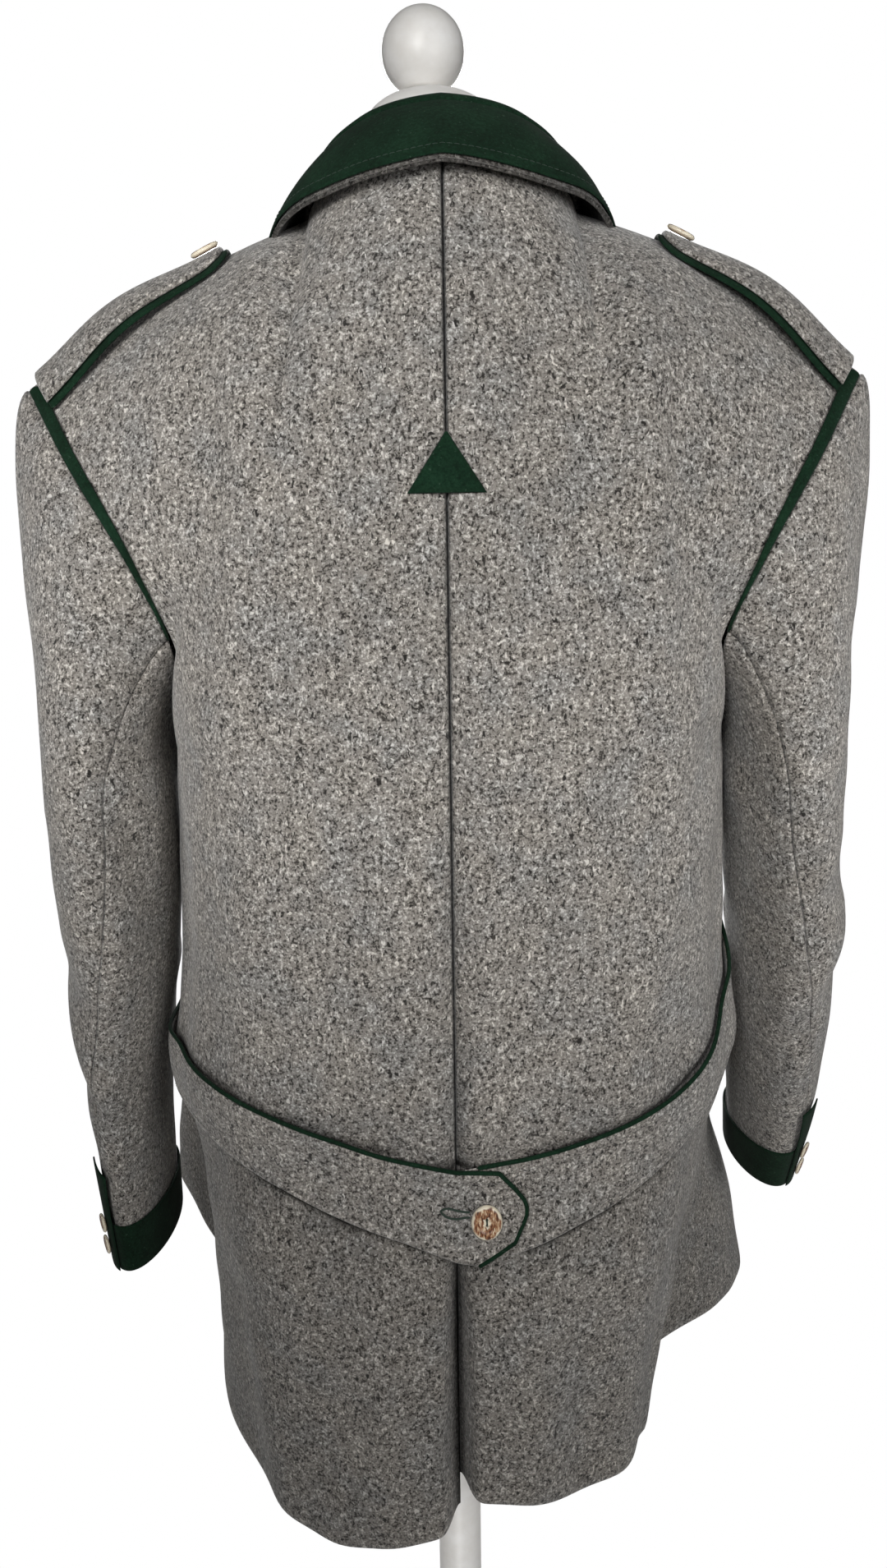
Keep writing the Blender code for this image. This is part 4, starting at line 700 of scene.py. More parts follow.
SHOULDER_LIFT = ((-0.17, 0.011), (0.17, 0.0045))    # place across the back, extra height
LIFT_REACH = 0.085        # how far to each side a shoulder's lift spreads
LIFT_FROM, LIFT_RAMP = 1.30, 0.12         # height where it starts, and over which it grows


def lifted(points):
    """Points with the shoulders raised, the right one more.  The solids aren't raised with them."""
    points = np.array(points, float)
    upper = smooth((points[:, 2] - LIFT_FROM) / LIFT_RAMP)
    for place, height in SHOULDER_LIFT:
        points[:, 2] += height * upper * np.exp(-((points[:, 0] - place) / LIFT_REACH) ** 2)
    return points


def paint_shade(piece, depth):
    """Paint shade on each point of loden, 0 to 1, where a seam or another piece would shade it."""
    points = np.zeros(3 * len(piece.data.vertices))
    piece.data.vertices.foreach_get("co", points)
    layer = piece.data.attributes.new("painted_shade", "FLOAT", "POINT")
    layer.data.foreach_set("value", np.clip(depth(points.reshape(-1, 3)), 0, 1))


def add_piece(name, points, faces, finish, replaced):
    """A smooth mesh piece that rides on the only body and stands for its solids."""
    points = lifted(points)
    mesh = bpy.data.meshes.new(name)
    mesh.from_pydata([tuple(map(float, p)) for p in points], [], faces)
    bm = bmesh.new()
    bm.from_mesh(mesh)
    bmesh.ops.recalc_face_normals(bm, faces=bm.faces)
    bm.to_mesh(mesh)
    bm.free()
    mesh.shade_smooth()
    mesh.materials.append(finish)
    piece = bpy.data.objects.new(name, mesh)
    COLLECTION.objects.link(piece)
    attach(piece, "root")
    if replaced:
        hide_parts(*replaced)
    return piece


def shell(name, outer, inner, finish, replaced, closed=False):
    """A cloth piece between two faces with a rounded edge."""
    outer, inner = np.array(outer, float), np.array(inner, float)
    rows, cols = outer.shape[:2]
    loops = border_loops(rows, cols, closed)
    middle = []
    for loop in loops:
        i, j = np.array(loop).T
        near_i = np.clip(i, 1, rows - 2)
        near_j = j if closed else np.clip(j, 1, cols - 2)
        edge = (outer[i, j] + inner[i, j]) / 2
        inward = unit((outer[near_i, near_j] + inner[near_i, near_j]) / 2 - edge)
        thick = np.linalg.norm(outer[i, j] - inner[i, j], axis=-1, keepdims=True)
        draw = inward * thick * ROUND
        across = outer[i, j] - inner[i, j]
        outer[i, j] = outer[i, j] + draw - across * 0.10
        inner[i, j] = inner[i, j] + draw + across * 0.10
        middle.append(edge)
    points = np.concatenate([outer.reshape(-1, 3), inner.reshape(-1, 3)] + middle)
    count = rows * cols
    faces = []
    for i in range(rows - 1):
        for j in range(cols if closed else cols - 1):
            k = (j + 1) % cols
            corner = (i * cols + j, i * cols + k, (i + 1) * cols + k, (i + 1) * cols + j)
            faces.append(corner)
            faces.append(tuple(count + c for c in reversed(corner)))
    first = 2 * count
    for loop in loops:
        for n, (i, j) in enumerate(loop):
            m = (n + 1) % len(loop)
            a, b = i * cols + j, loop[m][0] * cols + loop[m][1]
            faces.append((a, b, first + m, first + n))
            faces.append((first + n, first + m, count + b, count + a))
        first += len(loop)
    return add_piece(name, points, faces, finish, replaced)


def arcs(grid, closed=False):
    """Longest row and longest column of a grid, and its area, in metres."""
    ring = np.concatenate([grid, grid[:, :1]], axis=1) if closed else grid
    across, down = np.diff(ring, axis=1), np.diff(ring, axis=0)
    width = np.linalg.norm(across, axis=-1).sum(axis=1).max()
    length = np.linalg.norm(down, axis=-1).sum(axis=0).max()
    area = np.linalg.norm(np.cross(across[:-1], down[:, :-1]), axis=-1).sum()
    return float(width), float(length), float(area)


NARROWEST = 0.0101        # what a call says of a narrower strip: no width under 10 mm is taken


def cut(piece, grid, held, rests_on, closed=False, narrow=0.0):
    """Work out the size a cloth piece was cut to, but at least as wide as narrow."""
    width, length, area = arcs(np.asarray(grid), closed)
    width = max(width, narrow)
    width = max(width, area / length * 1.001)


# %% [markdown]
# ## Back and front panels
#
# The two backs meet at the centre seam, and the fronts hang free and open.  Each panel is a
# grid over its surface, finer towards the centre back, where the pleat and the vent roll in.
# The vent opens a little towards the hem and its edges turn inward, so the grid is dented
# there by a trough that widens on its way down.  Rows are closest where the belt's edges cross,
# because a fine line of painted shadow is drawn there later.

# %% Panels
BACK_U = np.concatenate([[0, .002, .004, .0065, .0095, .013, .017], np.linspace(.022, .09, 12)[:-1],
                         np.linspace(.09, 1.0, 60)])
FRONT_U = np.linspace(0.0, 1.0, 52)
PANEL_H = np.concatenate([np.linspace(-1, -.72, 30)[:-1], np.linspace(-.72, -.36, 125)[:-1],
                          np.linspace(-.36, 0, 34)[:-1], np.linspace(0, 1, 56)])
VENT_COLUMNS = ("height", "width", "depth")
VENT = ((.700, .0062, .0125), (.760, .0056, .0115), (.860, .0042, .0085), (.905, .0032, .0040),
        (.930, .0026, .0024), (1.340, .0014, .0020), (1.540, .0013, .0018))
SLACK = 0.0007            # how unlevel the fulled cloth lies


def vent_push(points):
    """Roll of the centre back edges: deep at the hem, a fine groove up to the collar."""
    rows = np.array(VENT)
    width = np.interp(points[..., 2], rows[:, 0], rows[:, 1])
    depth = np.interp(points[..., 2], rows[:, 0], rows[:, 2])
    return -depth * np.exp(-(points[..., 0] / width) ** 2)


def panel_faces(surface, side, columns, creases, seed):
    """Outer and inner face of a panel with its creases."""
    u, h = np.meshgrid(columns, PANEL_H)
    outer = surface(side, u, h)
    normal = normals(surface, side, u, h)
    on_seam = columns >= NECK_SHARE if surface is back_surface else columns <= SHOULDER_SHARE
    heading = np.gradient(outer[-1], axis=0) * np.array([1.0, 0.0, 1.0])
    seam_normal = unit(np.cross(np.array([0.0, 1.0, 0.0]), heading))
    seam_normal *= np.sign(seam_normal[:, 2:])
    near_seam = (smooth((h - 0.90) / 0.10) * on_seam)[..., None]
    normal = unit(normal * (1 - near_seam) + seam_normal[None] * near_seam)
    calm_top = smooth((1.0 - h) / 0.12)
    calm_armhole = smooth((1 - u if surface is back_surface else u) / 0.16)
    calm_armhole = np.where(h > -0.05, calm_armhole, 1.0)
    push = crease_push(outer, creases) + SLACK * unlevel(outer, 0.055, seed)
    push = push * calm_top * calm_armhole
    outer = outer + normal * push[..., None]
    if surface is back_surface:
        outer[..., 1] += vent_push(outer)
    return outer, outer - normal * LODEN


PANELS, BACKS = {}, {}
for side in SIDES:
    for part, surface, columns, creases, seed in (
            ("back", back_surface, BACK_U, BACK_CREASES, 5),
            ("front", front_surface, FRONT_U, FRONT_CREASES, 11)):
        outer, inner = panel_faces(surface, side, columns, creases, seed)
        inner[:, 0, 0] = outer[:, 0, 0] if part == "back" else inner[:, 0, 0]
        PANELS[part, side] = outer
        piece = shell(f"cloth_{part}_{side}", outer, inner, loden, [f"{part}_{side}"])
        if part == "back":
            BACKS[side] = piece
        cut(piece, outer, "hung", ["form_torso"])

# %% [markdown]
# ## Sleeves
#
# A two-piece sleeve: a wide top half and a narrow under half, joined by a hind seam that runs
# from the back of the armhole down to the cuff band.  The head leaves the armhole outward and
# drops in a curve until it is a level tube.  The tube keeps clear of the body and the belt, and
# that clearance is found on the solid's few rings and spread smoothly over the fine ones.

# %% Sleeve surface
ARM_TOP = 1.165         # where the sleeve head has become a level tube
SLEEVE_COLUMNS = ("height", "centre_x", "centre_y", "radius_x", "radius_y")
SLEEVES = {
    "left": (
        (1.165, .2205, .031, .0405, .0755),
        (1.060, .2250, .014, .0350, .0720),
        (0.980, .2305, -.001, .0275, .0680),
        (0.905, .2315, -.013, .0215, .0645),
        (0.830, .2300, -.022, .0180, .0600),
    ),
    "right": (
        (1.165, -.2215, .010, .0390, .0750),
        (1.080, -.2325, -.010, .0355, .0730),
        (1.010, -.2375, -.030, .0335, .0710),
        (0.910, -.2445, -.072, .0270, .0660),
        (0.842, -.2470, -.103, .0200, .0600),
    ),
}
HEAD_DROP = {"left": 0.55, "right": 0.35}
HEAD_SWELL = {"left": 0.085, "right": 0.062}    # how far the sleeve head leaves the armhole
SLEEVE_CLEAR = 0.0022    # between a sleeve and the body beside it
BELT_STACK = 0.0062      # belt and piping there
BELT_SIDE = {"left": 0.050, "right": 0.095}     # its rise beside the sleeve
FEW = (20, 7, 10)         # ring points, head rows and arm rows of the solid
FINE = (100, 34, 72)      # and of the shell
HIND_SHARE = 0.30         # the hind seam, round the ring from the shoulder tip
SLEEVE_CREASE_COLUMNS = ("start_turn", "start_z", "end_turn", "end_z", "height", "width")
SLEEVE_CREASES = {
    "left": ((.30, 1.190, .42, 1.090, -.0030, .016), (.12, 1.060, .40, 1.010, -.0024, .014),
             (.10, 1.030, .36, .970, .0026, .014), (.16, .985, .42, .940, -.0022, .012),
             (-.06, 1.150, .06, 1.000, .0020, .022), (.20, .930, .30, .870, .0018, .016),
             (-.30, 1.150, -.16, 1.060, -.0028, .016), (-.34, 1.040, -.10, .985, .0026, .014)),
    "right": ((.34, 1.200, .46, 1.110, -.0030, .016), (.10, 1.120, .40, 1.060, -.0026, .015),
              (.08, 1.080, .38, 1.020, .0030, .015), (.14, 1.040, .42, .975, -.0024, .013),
              (-.05, 1.160, .05, 1.030, .0020, .022), (.18, .960, .30, .890, .0018, .016),
              (-.28, 1.160, -.14, 1.070, -.0028, .016), (-.34, 1.060, -.10, 1.000, .0026, .014)),
}


def armhole_ring(side, ring):
    """Armhole points and body normals round the ring, from the shoulder tip backwards."""
    rises = np.linspace(0.0, 1.0, ring // 2 + 1)
    points = np.concatenate([armhole(side, "back", rises)[::-1], armhole(side, "front", rises)[1:-1]])
    back = normals(back_surface, side, np.ones_like(rises), rises)[::-1]
    front = normals(front_surface, side, np.zeros_like(rises), rises)
    return points, np.concatenate([back, front[1:-1]])


def ring_angles(height, ring):
    """Ring angles at a height; the tube turns so that the hind seam runs outward below."""
    turn = 0.9 * smooth((ARM_TOP - height) / 0.30)
    return 2 * math.pi * np.arange(ring) / ring - turn


def sleeve_ring(side, height, swell=0.0, ring=FINE[0]):
    """A level ring of the sleeve below its head."""
    rows = np.array(sorted(SLEEVES[side]))
    x, y, rx, ry = spline(rows[:, 0], rows[:, 1:], height)
    angle = ring_angles(height, ring)
    return np.stack([x + SIDES[side] * (rx + swell) * np.cos(angle),
                     y + (ry + swell) * np.sin(angle), np.full(ring, height)], axis=-1)


def sleeve_bottom(side):
    return min(row[0] for row in SLEEVES[side])


def sleeve_rows(side, ring, head_rows, arm_rows):
    """Outer sleeve surface from the armhole to the cuff edge, before it is kept clear."""
    start, _ = armhole_ring(side, ring)
    end = sleeve_ring(side, ARM_TOP, ring=ring)
    share = np.arange(ring) / ring
    at_top, at_back = np.cos(2 * math.pi * share), np.sin(2 * math.pi * share)
    leave = unit(np.stack([SIDES[side] * (0.76 + 0.14 * at_top), 0.10 * at_back,
                           -HEAD_DROP[side] + 0.05 * at_top], axis=-1))
    leave_length = HEAD_SWELL[side] * (1 - 0.5 * np.clip(-at_top, 0, 1))
    arrive_length = 0.55 * np.linalg.norm(end - start, axis=-1) + 0.03
    start = start + leave * SEAM_STAND
    rows = [hermite(start, end, leave * leave_length[:, None],
                    np.array([0.0, 0.0, -1.0]) * arrive_length[:, None], np.full(ring, v))
            for v in np.linspace(0.0, 1.0, head_rows + 1)]
    for height in np.linspace(ARM_TOP, sleeve_bottom(side), arm_rows + 1)[1:]:
        rows.append(sleeve_ring(side, height, ring=ring))
    return np.array(rows)


def body_side(side):
    """Points over the body's side, from the corner of the back to the front lobe."""
    h = np.concatenate([np.linspace(-1.0, 0.0, 90), np.linspace(0.01, 0.55, 45)])
    back = back_surface(side, *np.meshgrid(np.linspace(0.45, 1.0, 50), h), creased=False)
    front = front_surface(side, *np.meshgrid(np.linspace(0.0, 0.65, 50), h))
    return np.concatenate([back.reshape(-1, 3), front.reshape(-1, 3)])


def clearance_grid(side):
    """How far each point of the solid's sleeve stands off to clear the body and the belt."""
    body = body_side(side)
    rows = sleeve_rows(side, *FEW)
    push = np.zeros(rows.shape[:2])
    for i, j in np.ndindex(*push.shape):
        point = rows[i, j]
        apart = np.hypot(body[:, 1] - point[1], body[:, 2] - point[2])
        if i and apart.min() <= 0.006:
            at_belt = smooth((0.060 - abs(point[2] - BELT_LINE - BELT_SIDE[side])) / 0.020)
            wall = np.abs(body[np.argmin(apart), 0]) + SLEEVE_CLEAR + BELT_STACK * at_belt
            push[i, j] = max(0.0, wall - abs(point[0]))
    return push


def spread(few, row_places, col_places):
    """Smooth values of a coarse grid of rings over finer places."""
    rows, ring = few.shape
    tall = np.stack([np.interp(row_places, np.arange(rows), few[:, j]) for j in range(ring)], axis=1)
    tall = np.concatenate([tall, tall[:, :1]], axis=1)
    fine = np.stack([np.interp(col_places, np.arange(ring + 1), row) for row in tall])
    for _ in range(6):
        fine = (np.roll(fine, 1, axis=1) + 2 * fine + np.roll(fine, -1, axis=1)) / 4
        fine[1:-1] = (fine[:-2] + 2 * fine[1:-1] + fine[2:]) / 4
    return fine


def ring_normals(rows, side):
    """Outward normals of rows of closed rings."""
    around = np.roll(rows, -1, axis=1) - np.roll(rows, 1, axis=1)
    down = np.gradient(rows, axis=0)
    return unit(np.cross(around, down)) * SIDES[side] * -1.0


def sleeve_faces(side, seed):
    """Outer and inner face of a whole sleeve."""
    ring, head_rows, arm_rows = FINE
    outer = sleeve_rows(side, *FINE)
    row_places = np.concatenate([np.linspace(0, FEW[1], head_rows + 1),
                                 np.linspace(FEW[1], FEW[1] + FEW[2], arm_rows + 1)[1:]])
    push = spread(clearance_grid(side), row_places, np.arange(ring) / ring * FEW[0])
    outer[..., 0] += SIDES[side] * push
    normal = ring_normals(outer, side)
    body_normal = armhole_ring(side, ring)[1]
    alike = np.sum(body_normal * normal[0], axis=-1, keepdims=True)
    share = smooth((alike - 0.3) / 0.5)
    normal[0] = unit(share * body_normal + (1 - share) * normal[0])
    turn = np.arange(ring) / ring
    turn = np.where(turn > 0.62, turn - 1.0, turn)
    round_arm = 0.36
    flat = np.stack([np.broadcast_to(turn * round_arm, outer.shape[:2]), outer[..., 2]], axis=-1)
    table = [(a * round_arm, b, c * round_arm, d, height, width)
             for a, b, c, d, height, width in SLEEVE_CREASES[side]]
    creases = crease_push(flat, table, 0, 1) + SLACK * unlevel(outer, 0.050, seed)
    calm = smooth(row_places / 2.2) * smooth((outer[..., 2].mean(axis=1) - sleeve_bottom(side) - .03) / .05)
    tight = smooth(1 - push / 0.004)
    outer = outer + normal * (creases * calm[:, None] * tight)[..., None]
    return outer, outer - normal * LODEN


# %% Make the sleeves
HIND = round(HIND_SHARE * FINE[0])
for side, seed in (("left", 21), ("right", 34)):
    outer, inner = sleeve_faces(side, seed)
    for name, first, last in (("sleeve_top", -HIND, HIND), ("sleeve_under", HIND, FINE[0] - HIND)):
        pick = [k % FINE[0] for k in range(first, last + 1)]
        piece = shell(f"cloth_{name}_{side}", outer[:, pick], inner[:, pick], loden,
                      [f"{name}_{side}"])
        cut(piece, outer[:, pick], "hung", [f"cloth_back_{side}"])

# %% [markdown]
# ## Cuffs and cuff bands
#
# The cuff is a turned-up ring of green cloth, and an upright band of the same cloth covers the
# hind seam above it.  Felted cloth needs no hem: its cut edges are left raw and look rounded.
# The band's upper end is cut on a slant.

# %% Cuffs
CUFF_HEIGHT = 0.038
CUFF_BAND_WIDTH = 0.022
CUFF_BAND_HEIGHT = 0.085
CUFF_REACH = GAP + 0.0008
BAND_SLANT = 0.007


def band_row(side, height, swell, count=5, drop=0.0):
    """Points across the upright band, on the swollen sleeve ring round the hind seam."""
    across = np.linspace(-0.5, 0.5, count)
    rows = np.array(sorted(SLEEVES[side]))
    points = []
    for share in across:
        z = height - drop * (share + 0.5)
        x, y, rx, ry = spline(rows[:, 0], rows[:, 1:], z)
        seam = 2 * math.pi * HIND_SHARE - 0.9 * smooth((ARM_TOP - z) / 0.30)
        speed = math.hypot(rx * math.sin(seam), ry * math.cos(seam))
        angle = seam + share * CUFF_BAND_WIDTH / speed
        points.append([x + SIDES[side] * (rx + swell) * math.cos(angle),
                       y + (ry + swell) * math.sin(angle), z])
    return np.array(points)


for side in SIDES:
    bottom = sleeve_bottom(side) - 0.001
    heights = np.linspace(bottom + CUFF_HEIGHT, bottom, 18)
    inner = np.array([sleeve_ring(side, h, CUFF_REACH) for h in heights])
    outer = np.array([sleeve_ring(side, h, CUFF_REACH + FELT) for h in heights])
    piece = shell(f"cloth_cuff_{side}", outer, inner, green, [f"cuff_{side}"], closed=True)
    cut(piece, outer, "folded", [f"cloth_sleeve_top_{side}", f"cloth_sleeve_under_{side}"], closed=True)
    reach = 2 * GAP + 0.0012 + FELT
    top = bottom + CUFF_BAND_HEIGHT
    low, high = [], []
    for step in np.linspace(0, 1, 26):
        height = top + (bottom - top) * step
        slant = BAND_SLANT * (1 - smooth(step / 0.35))
        low.append(band_row(side, height, reach, 9, slant))
        high.append(band_row(side, height, reach + FELT, 9, slant))
    piece = shell(f"cloth_cuff_band_{side}", high, low, green, [f"cuff_band_{side}"])
    cut(piece, high, "laid", [f"cloth_cuff_{side}"])

# %% [markdown]
# ## Collar
#
# The collar stands up from the neckline, rolls over and falls outward.  The top collar is green
# cloth and the under collar is loden, cut 4 mm deeper, so that a grey lip shows below the green.

# %% Collar
COLLAR_COLUMNS = ("along", "stand_out", "stand_up", "fall_out", "fall_down")
COLLAR_FOLD = 0.008     # width of the roll at the top of the stand
COLLAR_BOW = 0.007
COLLAR_STAND_OFF = 0.0012     # of the stand's foot from the neckline edge
COLLAR_GAP = 0.0006      # between the two collar layers
COLLAR = (                # at the shoulders the fall drops 8 to 14.5 mm lower than its solids do
    (0.00, -.022, .038, .038, .0425),
    (0.25, -.014, .032, .031, .0425),
    (0.33, -.0118, .029, .0320, .0415),
    (0.40, -.010, .026, .0322, .0410),
    (0.50, -.008, .022, .0310, .0400),
    (0.75, .000, .017, .033, .030),
    (1.00, .008, .014, .032, .044),
)


def collar_surface(along, profile):
    """Folding line of the collar: from the stand's base over the roll to the fall's edge."""
    side_sign = np.sign(along) + (along == 0)
    reach = np.abs(along)
    base = half_neckline(reach)
    sizes = np.array(COLLAR)
    stand_out, stand_up, fall_out, fall_down = np.moveaxis(
        spline(sizes[:, 0], sizes[:, 1:], reach), -1, 0)
    step = 1e-3
    ahead = half_neckline(np.clip(reach + step, 0, 1))
    behind = half_neckline(np.clip(reach - step, 0, 1))
    heading = unit((ahead - behind) * np.array([1.0, 1.0, 0.0]))
    out = np.stack([-heading[..., 1], heading[..., 0], np.zeros_like(reach)], axis=-1)
    out = np.where((reach < step)[..., None], np.array([0.0, 1.0, 0.0]), out)
    up = np.array([0.0, 0.0, 1.0])
    forward = reach[..., None]
    start = base + (up * (1 - 0.5 * forward) - out * 0.8 * forward) * COLLAR_STAND_OFF
    roll = base + out * stand_out[..., None] + up * stand_up[..., None]
    edge = roll + out * fall_out[..., None] - up * fall_down[..., None]
    inner_top = roll - out * COLLAR_FOLD / 2
    outer_top = roll + out * COLLAR_FOLD / 2
    low = np.clip(profile / .42, 0, 1)
    mid = np.clip((profile - .42) / .16, 0, 1)
    high = np.clip((profile - .58) / .42, 0, None)
    height = COLLAR_FOLD * 0.5
    stand = hermite(start, inner_top - up * height, up * 0.02, up * 0.02, low)
    arch = mid[..., None] * math.pi
    crown = (roll - up * height) - out * (COLLAR_FOLD / 2) * np.cos(arch) + up * height * np.sin(arch)
    fall_start = outer_top - up * height
    fall = fall_start + (edge - fall_start) * high[..., None]
    bow = (high * (1 - high))[..., None]
    fall = fall + bow * COLLAR_BOW * (out + up)
    point = np.where((profile <= .42)[..., None], stand,
                     np.where((profile <= .58)[..., None], crown, fall))
    return point * np.stack([side_sign, np.ones_like(reach), np.ones_like(reach)], axis=-1)


LIP_SHOWS = 0.0028        # the solid's lip, less its rounded edge
along = np.linspace(-1.0, 1.0, 141)
profile = np.concatenate([np.linspace(0, .42, 12)[:-1], np.linspace(.42, .58, 13)[:-1],
                          np.linspace(.58, 1.0, 26)])
a, p = np.meshgrid(along, profile)
line = collar_surface(a, p)
step = 1e-3
across = collar_surface(np.clip(a + step, -1, 1), p) - collar_surface(np.clip(a - step, -1, 1), p)
down = collar_surface(a, np.clip(p + step, 0, 1)) - collar_surface(a, np.clip(p - step, 0, 1))
collar_face = unit(np.cross(across, down))
wave = (0.0010 * unlevel(line, 0.07, 8) * smooth((p - 0.6) / 0.3))[..., None]
line = line + collar_face * np.maximum(wave, 0)
top_collar = line + collar_face * (COLLAR_GAP + FELT)
piece = shell("cloth_collar_top", top_collar, line + collar_face * COLLAR_GAP, green,
              ["collar_top"])
cut(piece, top_collar, "folded", ["cloth_back_left", "cloth_back_right"])
lip = unit(line[-1] - line[-4])
under = np.concatenate([line, [line[-1] + lip * LIP_SHOWS * k / 4 for k in (1, 2, 3, 4)]])
under_face = np.concatenate([collar_face, np.repeat(collar_face[-1:], 4, axis=0)])
piece = shell("cloth_collar_under", under, under - under_face * LODEN, loden, ["collar_under"])
LIP_SHADE = 0.60          # painted, in place of the shade that the fall throws on the lip
paint_shade(piece, lambda points: np.full(len(points), LIP_SHADE))
cut(piece, under, "folded", ["cloth_back_left", "cloth_back_right"])

# %% [markdown]
# ## Shoulder straps
#
# Each strap is a stiff tab of loden on a green backing that stands out beyond its edges.  It
# runs over the shoulder seam from a rounded end near the collar, which is buttoned down, to the
# armhole, where it is sewn in.  It is too stiff to follow the seam's ridge, so a smooth line is
# fitted over the body across the shoulder at each station, and the strap arches a little more
# in the middle of its length.

# %% Straps
STRAP_WIDTH = 0.042
STRAP_BACK = 0.005      # the strap's middle line lies this far behind the shoulder seam
STRAP_START = 0.275     # share of the shoulder seam at the strap's neck end
STRAP_END = 0.955
STRAP_SEAT = 0.0012     # over the body
STRAP_ARCH = 0.0045     # and more in the middle, where it bridges the seam
STRAP_BUTTON = 0.0095
STRAP_COLUMNS = 21
STRAP_STATIONS = 44
STRAP_ROUND = 0.015       # of the neck end
BACKING_SHOWS = 0.0030    # of green past the loden's edge


def over_shoulder(side, share, across):
    """Body points on a line across the shoulder seam, back parts at positive distances."""
    h = np.linspace(1.0, 0.70, 60)
    found = np.zeros((len(across), 3))
    for surface, u, rows in ((back_surface, NECK_SHARE + (1 - NECK_SHARE) * share, across >= 0),
                             (front_surface, SHOULDER_SHARE * (1 - share), across < 0)):
        line = surface(side, np.full_like(h, u), h)
        run = np.concatenate([[0.0], np.cumsum(np.linalg.norm(np.diff(line, axis=0), axis=1))])
        found[rows] = np.stack([np.interp(np.abs(across[rows]), run, line[:, k]) for k in range(3)], axis=-1)
    return found


def strap_bed(side, share, neck, half):
    """A stiff line across the shoulder just over the body, and its upward normals."""
    widest = (STRAP_WIDTH / 2 + BACKING_SHOWS) * neck
    across = np.linspace(-1.0, 1.0, 25) * widest
    body = over_shoulder(side, share, across + STRAP_BACK)
    bent = np.stack([np.polyval(np.polyfit(across, body[:, k], 2), across) for k in range(3)], axis=-1)
    ahead, behind = [over_shoulder(side, share + step, across + STRAP_BACK) for step in (0.02, -0.02)]
    up = unit(np.cross(np.gradient(bent, axis=0), ahead - behind) * -SIDES[side])
    short = np.max(np.sum((body - bent) * up, axis=-1))
    wanted = np.linspace(-1.0, 1.0, STRAP_COLUMNS) * half * neck
    bed = bent + up * short
    placed = [[np.interp(wanted, across, values[:, k]) for k in range(3)] for values in (bed, up)]
    bed, up = np.moveaxis(np.array(placed), 1, -1)
    return bed, unit(up)


SEAM_LENGTH = float(np.linalg.norm(
    np.diff(even_curve(SHOULDER, np.linspace(0, 1, 50)), axis=0), axis=1).sum())


def strap_layer(side, beyond, low, high):
    """Top and underside of a strap layer between two heights over the strap's bed."""
    start = STRAP_START - beyond / SEAM_LENGTH
    shares = start + (STRAP_END - start) * np.linspace(0, 1, STRAP_STATIONS) ** 1.35
    along = np.clip((shares - STRAP_START) / (STRAP_END - STRAP_START), 0, 1)
    lift = STRAP_SEAT + STRAP_ARCH * np.sin(math.pi * np.clip(along * 1.10 - 0.10, 0, 1)) ** 2
    top, foot = [], []
    for share, rise in zip(shares, lift):
        from_end = min(1.0, (share - start) * SEAM_LENGTH / STRAP_ROUND)
        reach = 0.45 + 0.55 * math.sqrt(1 - (1 - from_end) ** 2)
        bed, up = strap_bed(side, share, 1.0, (STRAP_WIDTH / 2 + beyond) * reach)
        foot.append(bed + up * (rise + low))
        top.append(bed + up * (rise + high))
    return np.array(top), np.array(foot), shares


STRAP_TOPS = {}
for side in SIDES:
    top, foot, _ = strap_layer(side, BACKING_SHOWS, 0.0, FELT)
    piece = shell(f"cloth_strap_backing_{side}", top, foot, green, [f"strap_backing_{side}"])
    cut(piece, top, "laid", [f"cloth_back_{side}", f"cloth_front_{side}"])
    top, foot, shares = strap_layer(side, 0.0, FELT + GAP, FELT + GAP + LODEN)
    piece = shell(f"cloth_strap_{side}", top, foot, loden, [f"strap_{side}"])
    cut(piece, top, "laid", [f"cloth_strap_backing_{side}"])
    STRAP_TOPS[side] = (top, shares)

# %% [markdown]
# ## Armhole piping
#
# A folded strip of green cloth is caught in the armhole seam.  It stands widest under the
# strap's outer end and tapers to nothing at the underarm.  It is made from the back panel's own
# points, moved out, with a rounded back.

# %% Armhole piping
PIPING_LIFT = 0.0010
PIPING_TOP, PIPING_FOOT = 0.985, 0.40     # shares of the armhole's height
PIPING_COLUMNS = ("rise", "width")
PIPING = ((.40, .0012), (.46, .0036), (.55, .0056), (.70, .0076), (.985, .0088))
for side in SIDES:
    rises = np.linspace(PIPING_FOOT, PIPING_TOP, 70)
    widths = np.interp(rises, *np.array(PIPING).T)
    widths = widths * np.sqrt(np.clip((PIPING_TOP + 0.012 - rises) / 0.03, 0.15, 1.0))
    pair = back_surface(side, np.array([[0.90], [1.0]]), rises[None])
    per_metre = 0.10 / np.linalg.norm(pair[1] - pair[0], axis=-1)
    u = 1.0 - widths[:, None] * per_metre[:, None] * np.linspace(1.0, 0.0, 9)
    h = np.repeat(rises[:, None], 9, axis=1)
    base = back_surface(side, u, h)
    face = normals(back_surface, side, u, h)
    round_back = FELT * (0.55 + 0.75 * np.sin(math.pi * np.linspace(0.08, 0.92, 9)))[:, None]
    inner = base + face * PIPING_LIFT
    outer = inner + face * round_back
    piece = shell(f"cloth_armhole_piping_{side}", outer, inner, green,
                  [f"armhole_piping_{side}"])
    # The strip is really 8.9 mm wide at its widest place.
    cut(piece, outer, "laid", [f"cloth_back_{side}"], narrow=NARROWEST)

# %% [markdown]
# ## Triangle on the back
#
# A small felt triangle is sewn over the centre seam where the inverted pleat starts, so that
# the pleat can't tear further up.

# %% Triangle
TRIANGLE_TOP = 1.383
TRIANGLE_FOOT = 1.350
TRIANGLE_HALF = 0.0215


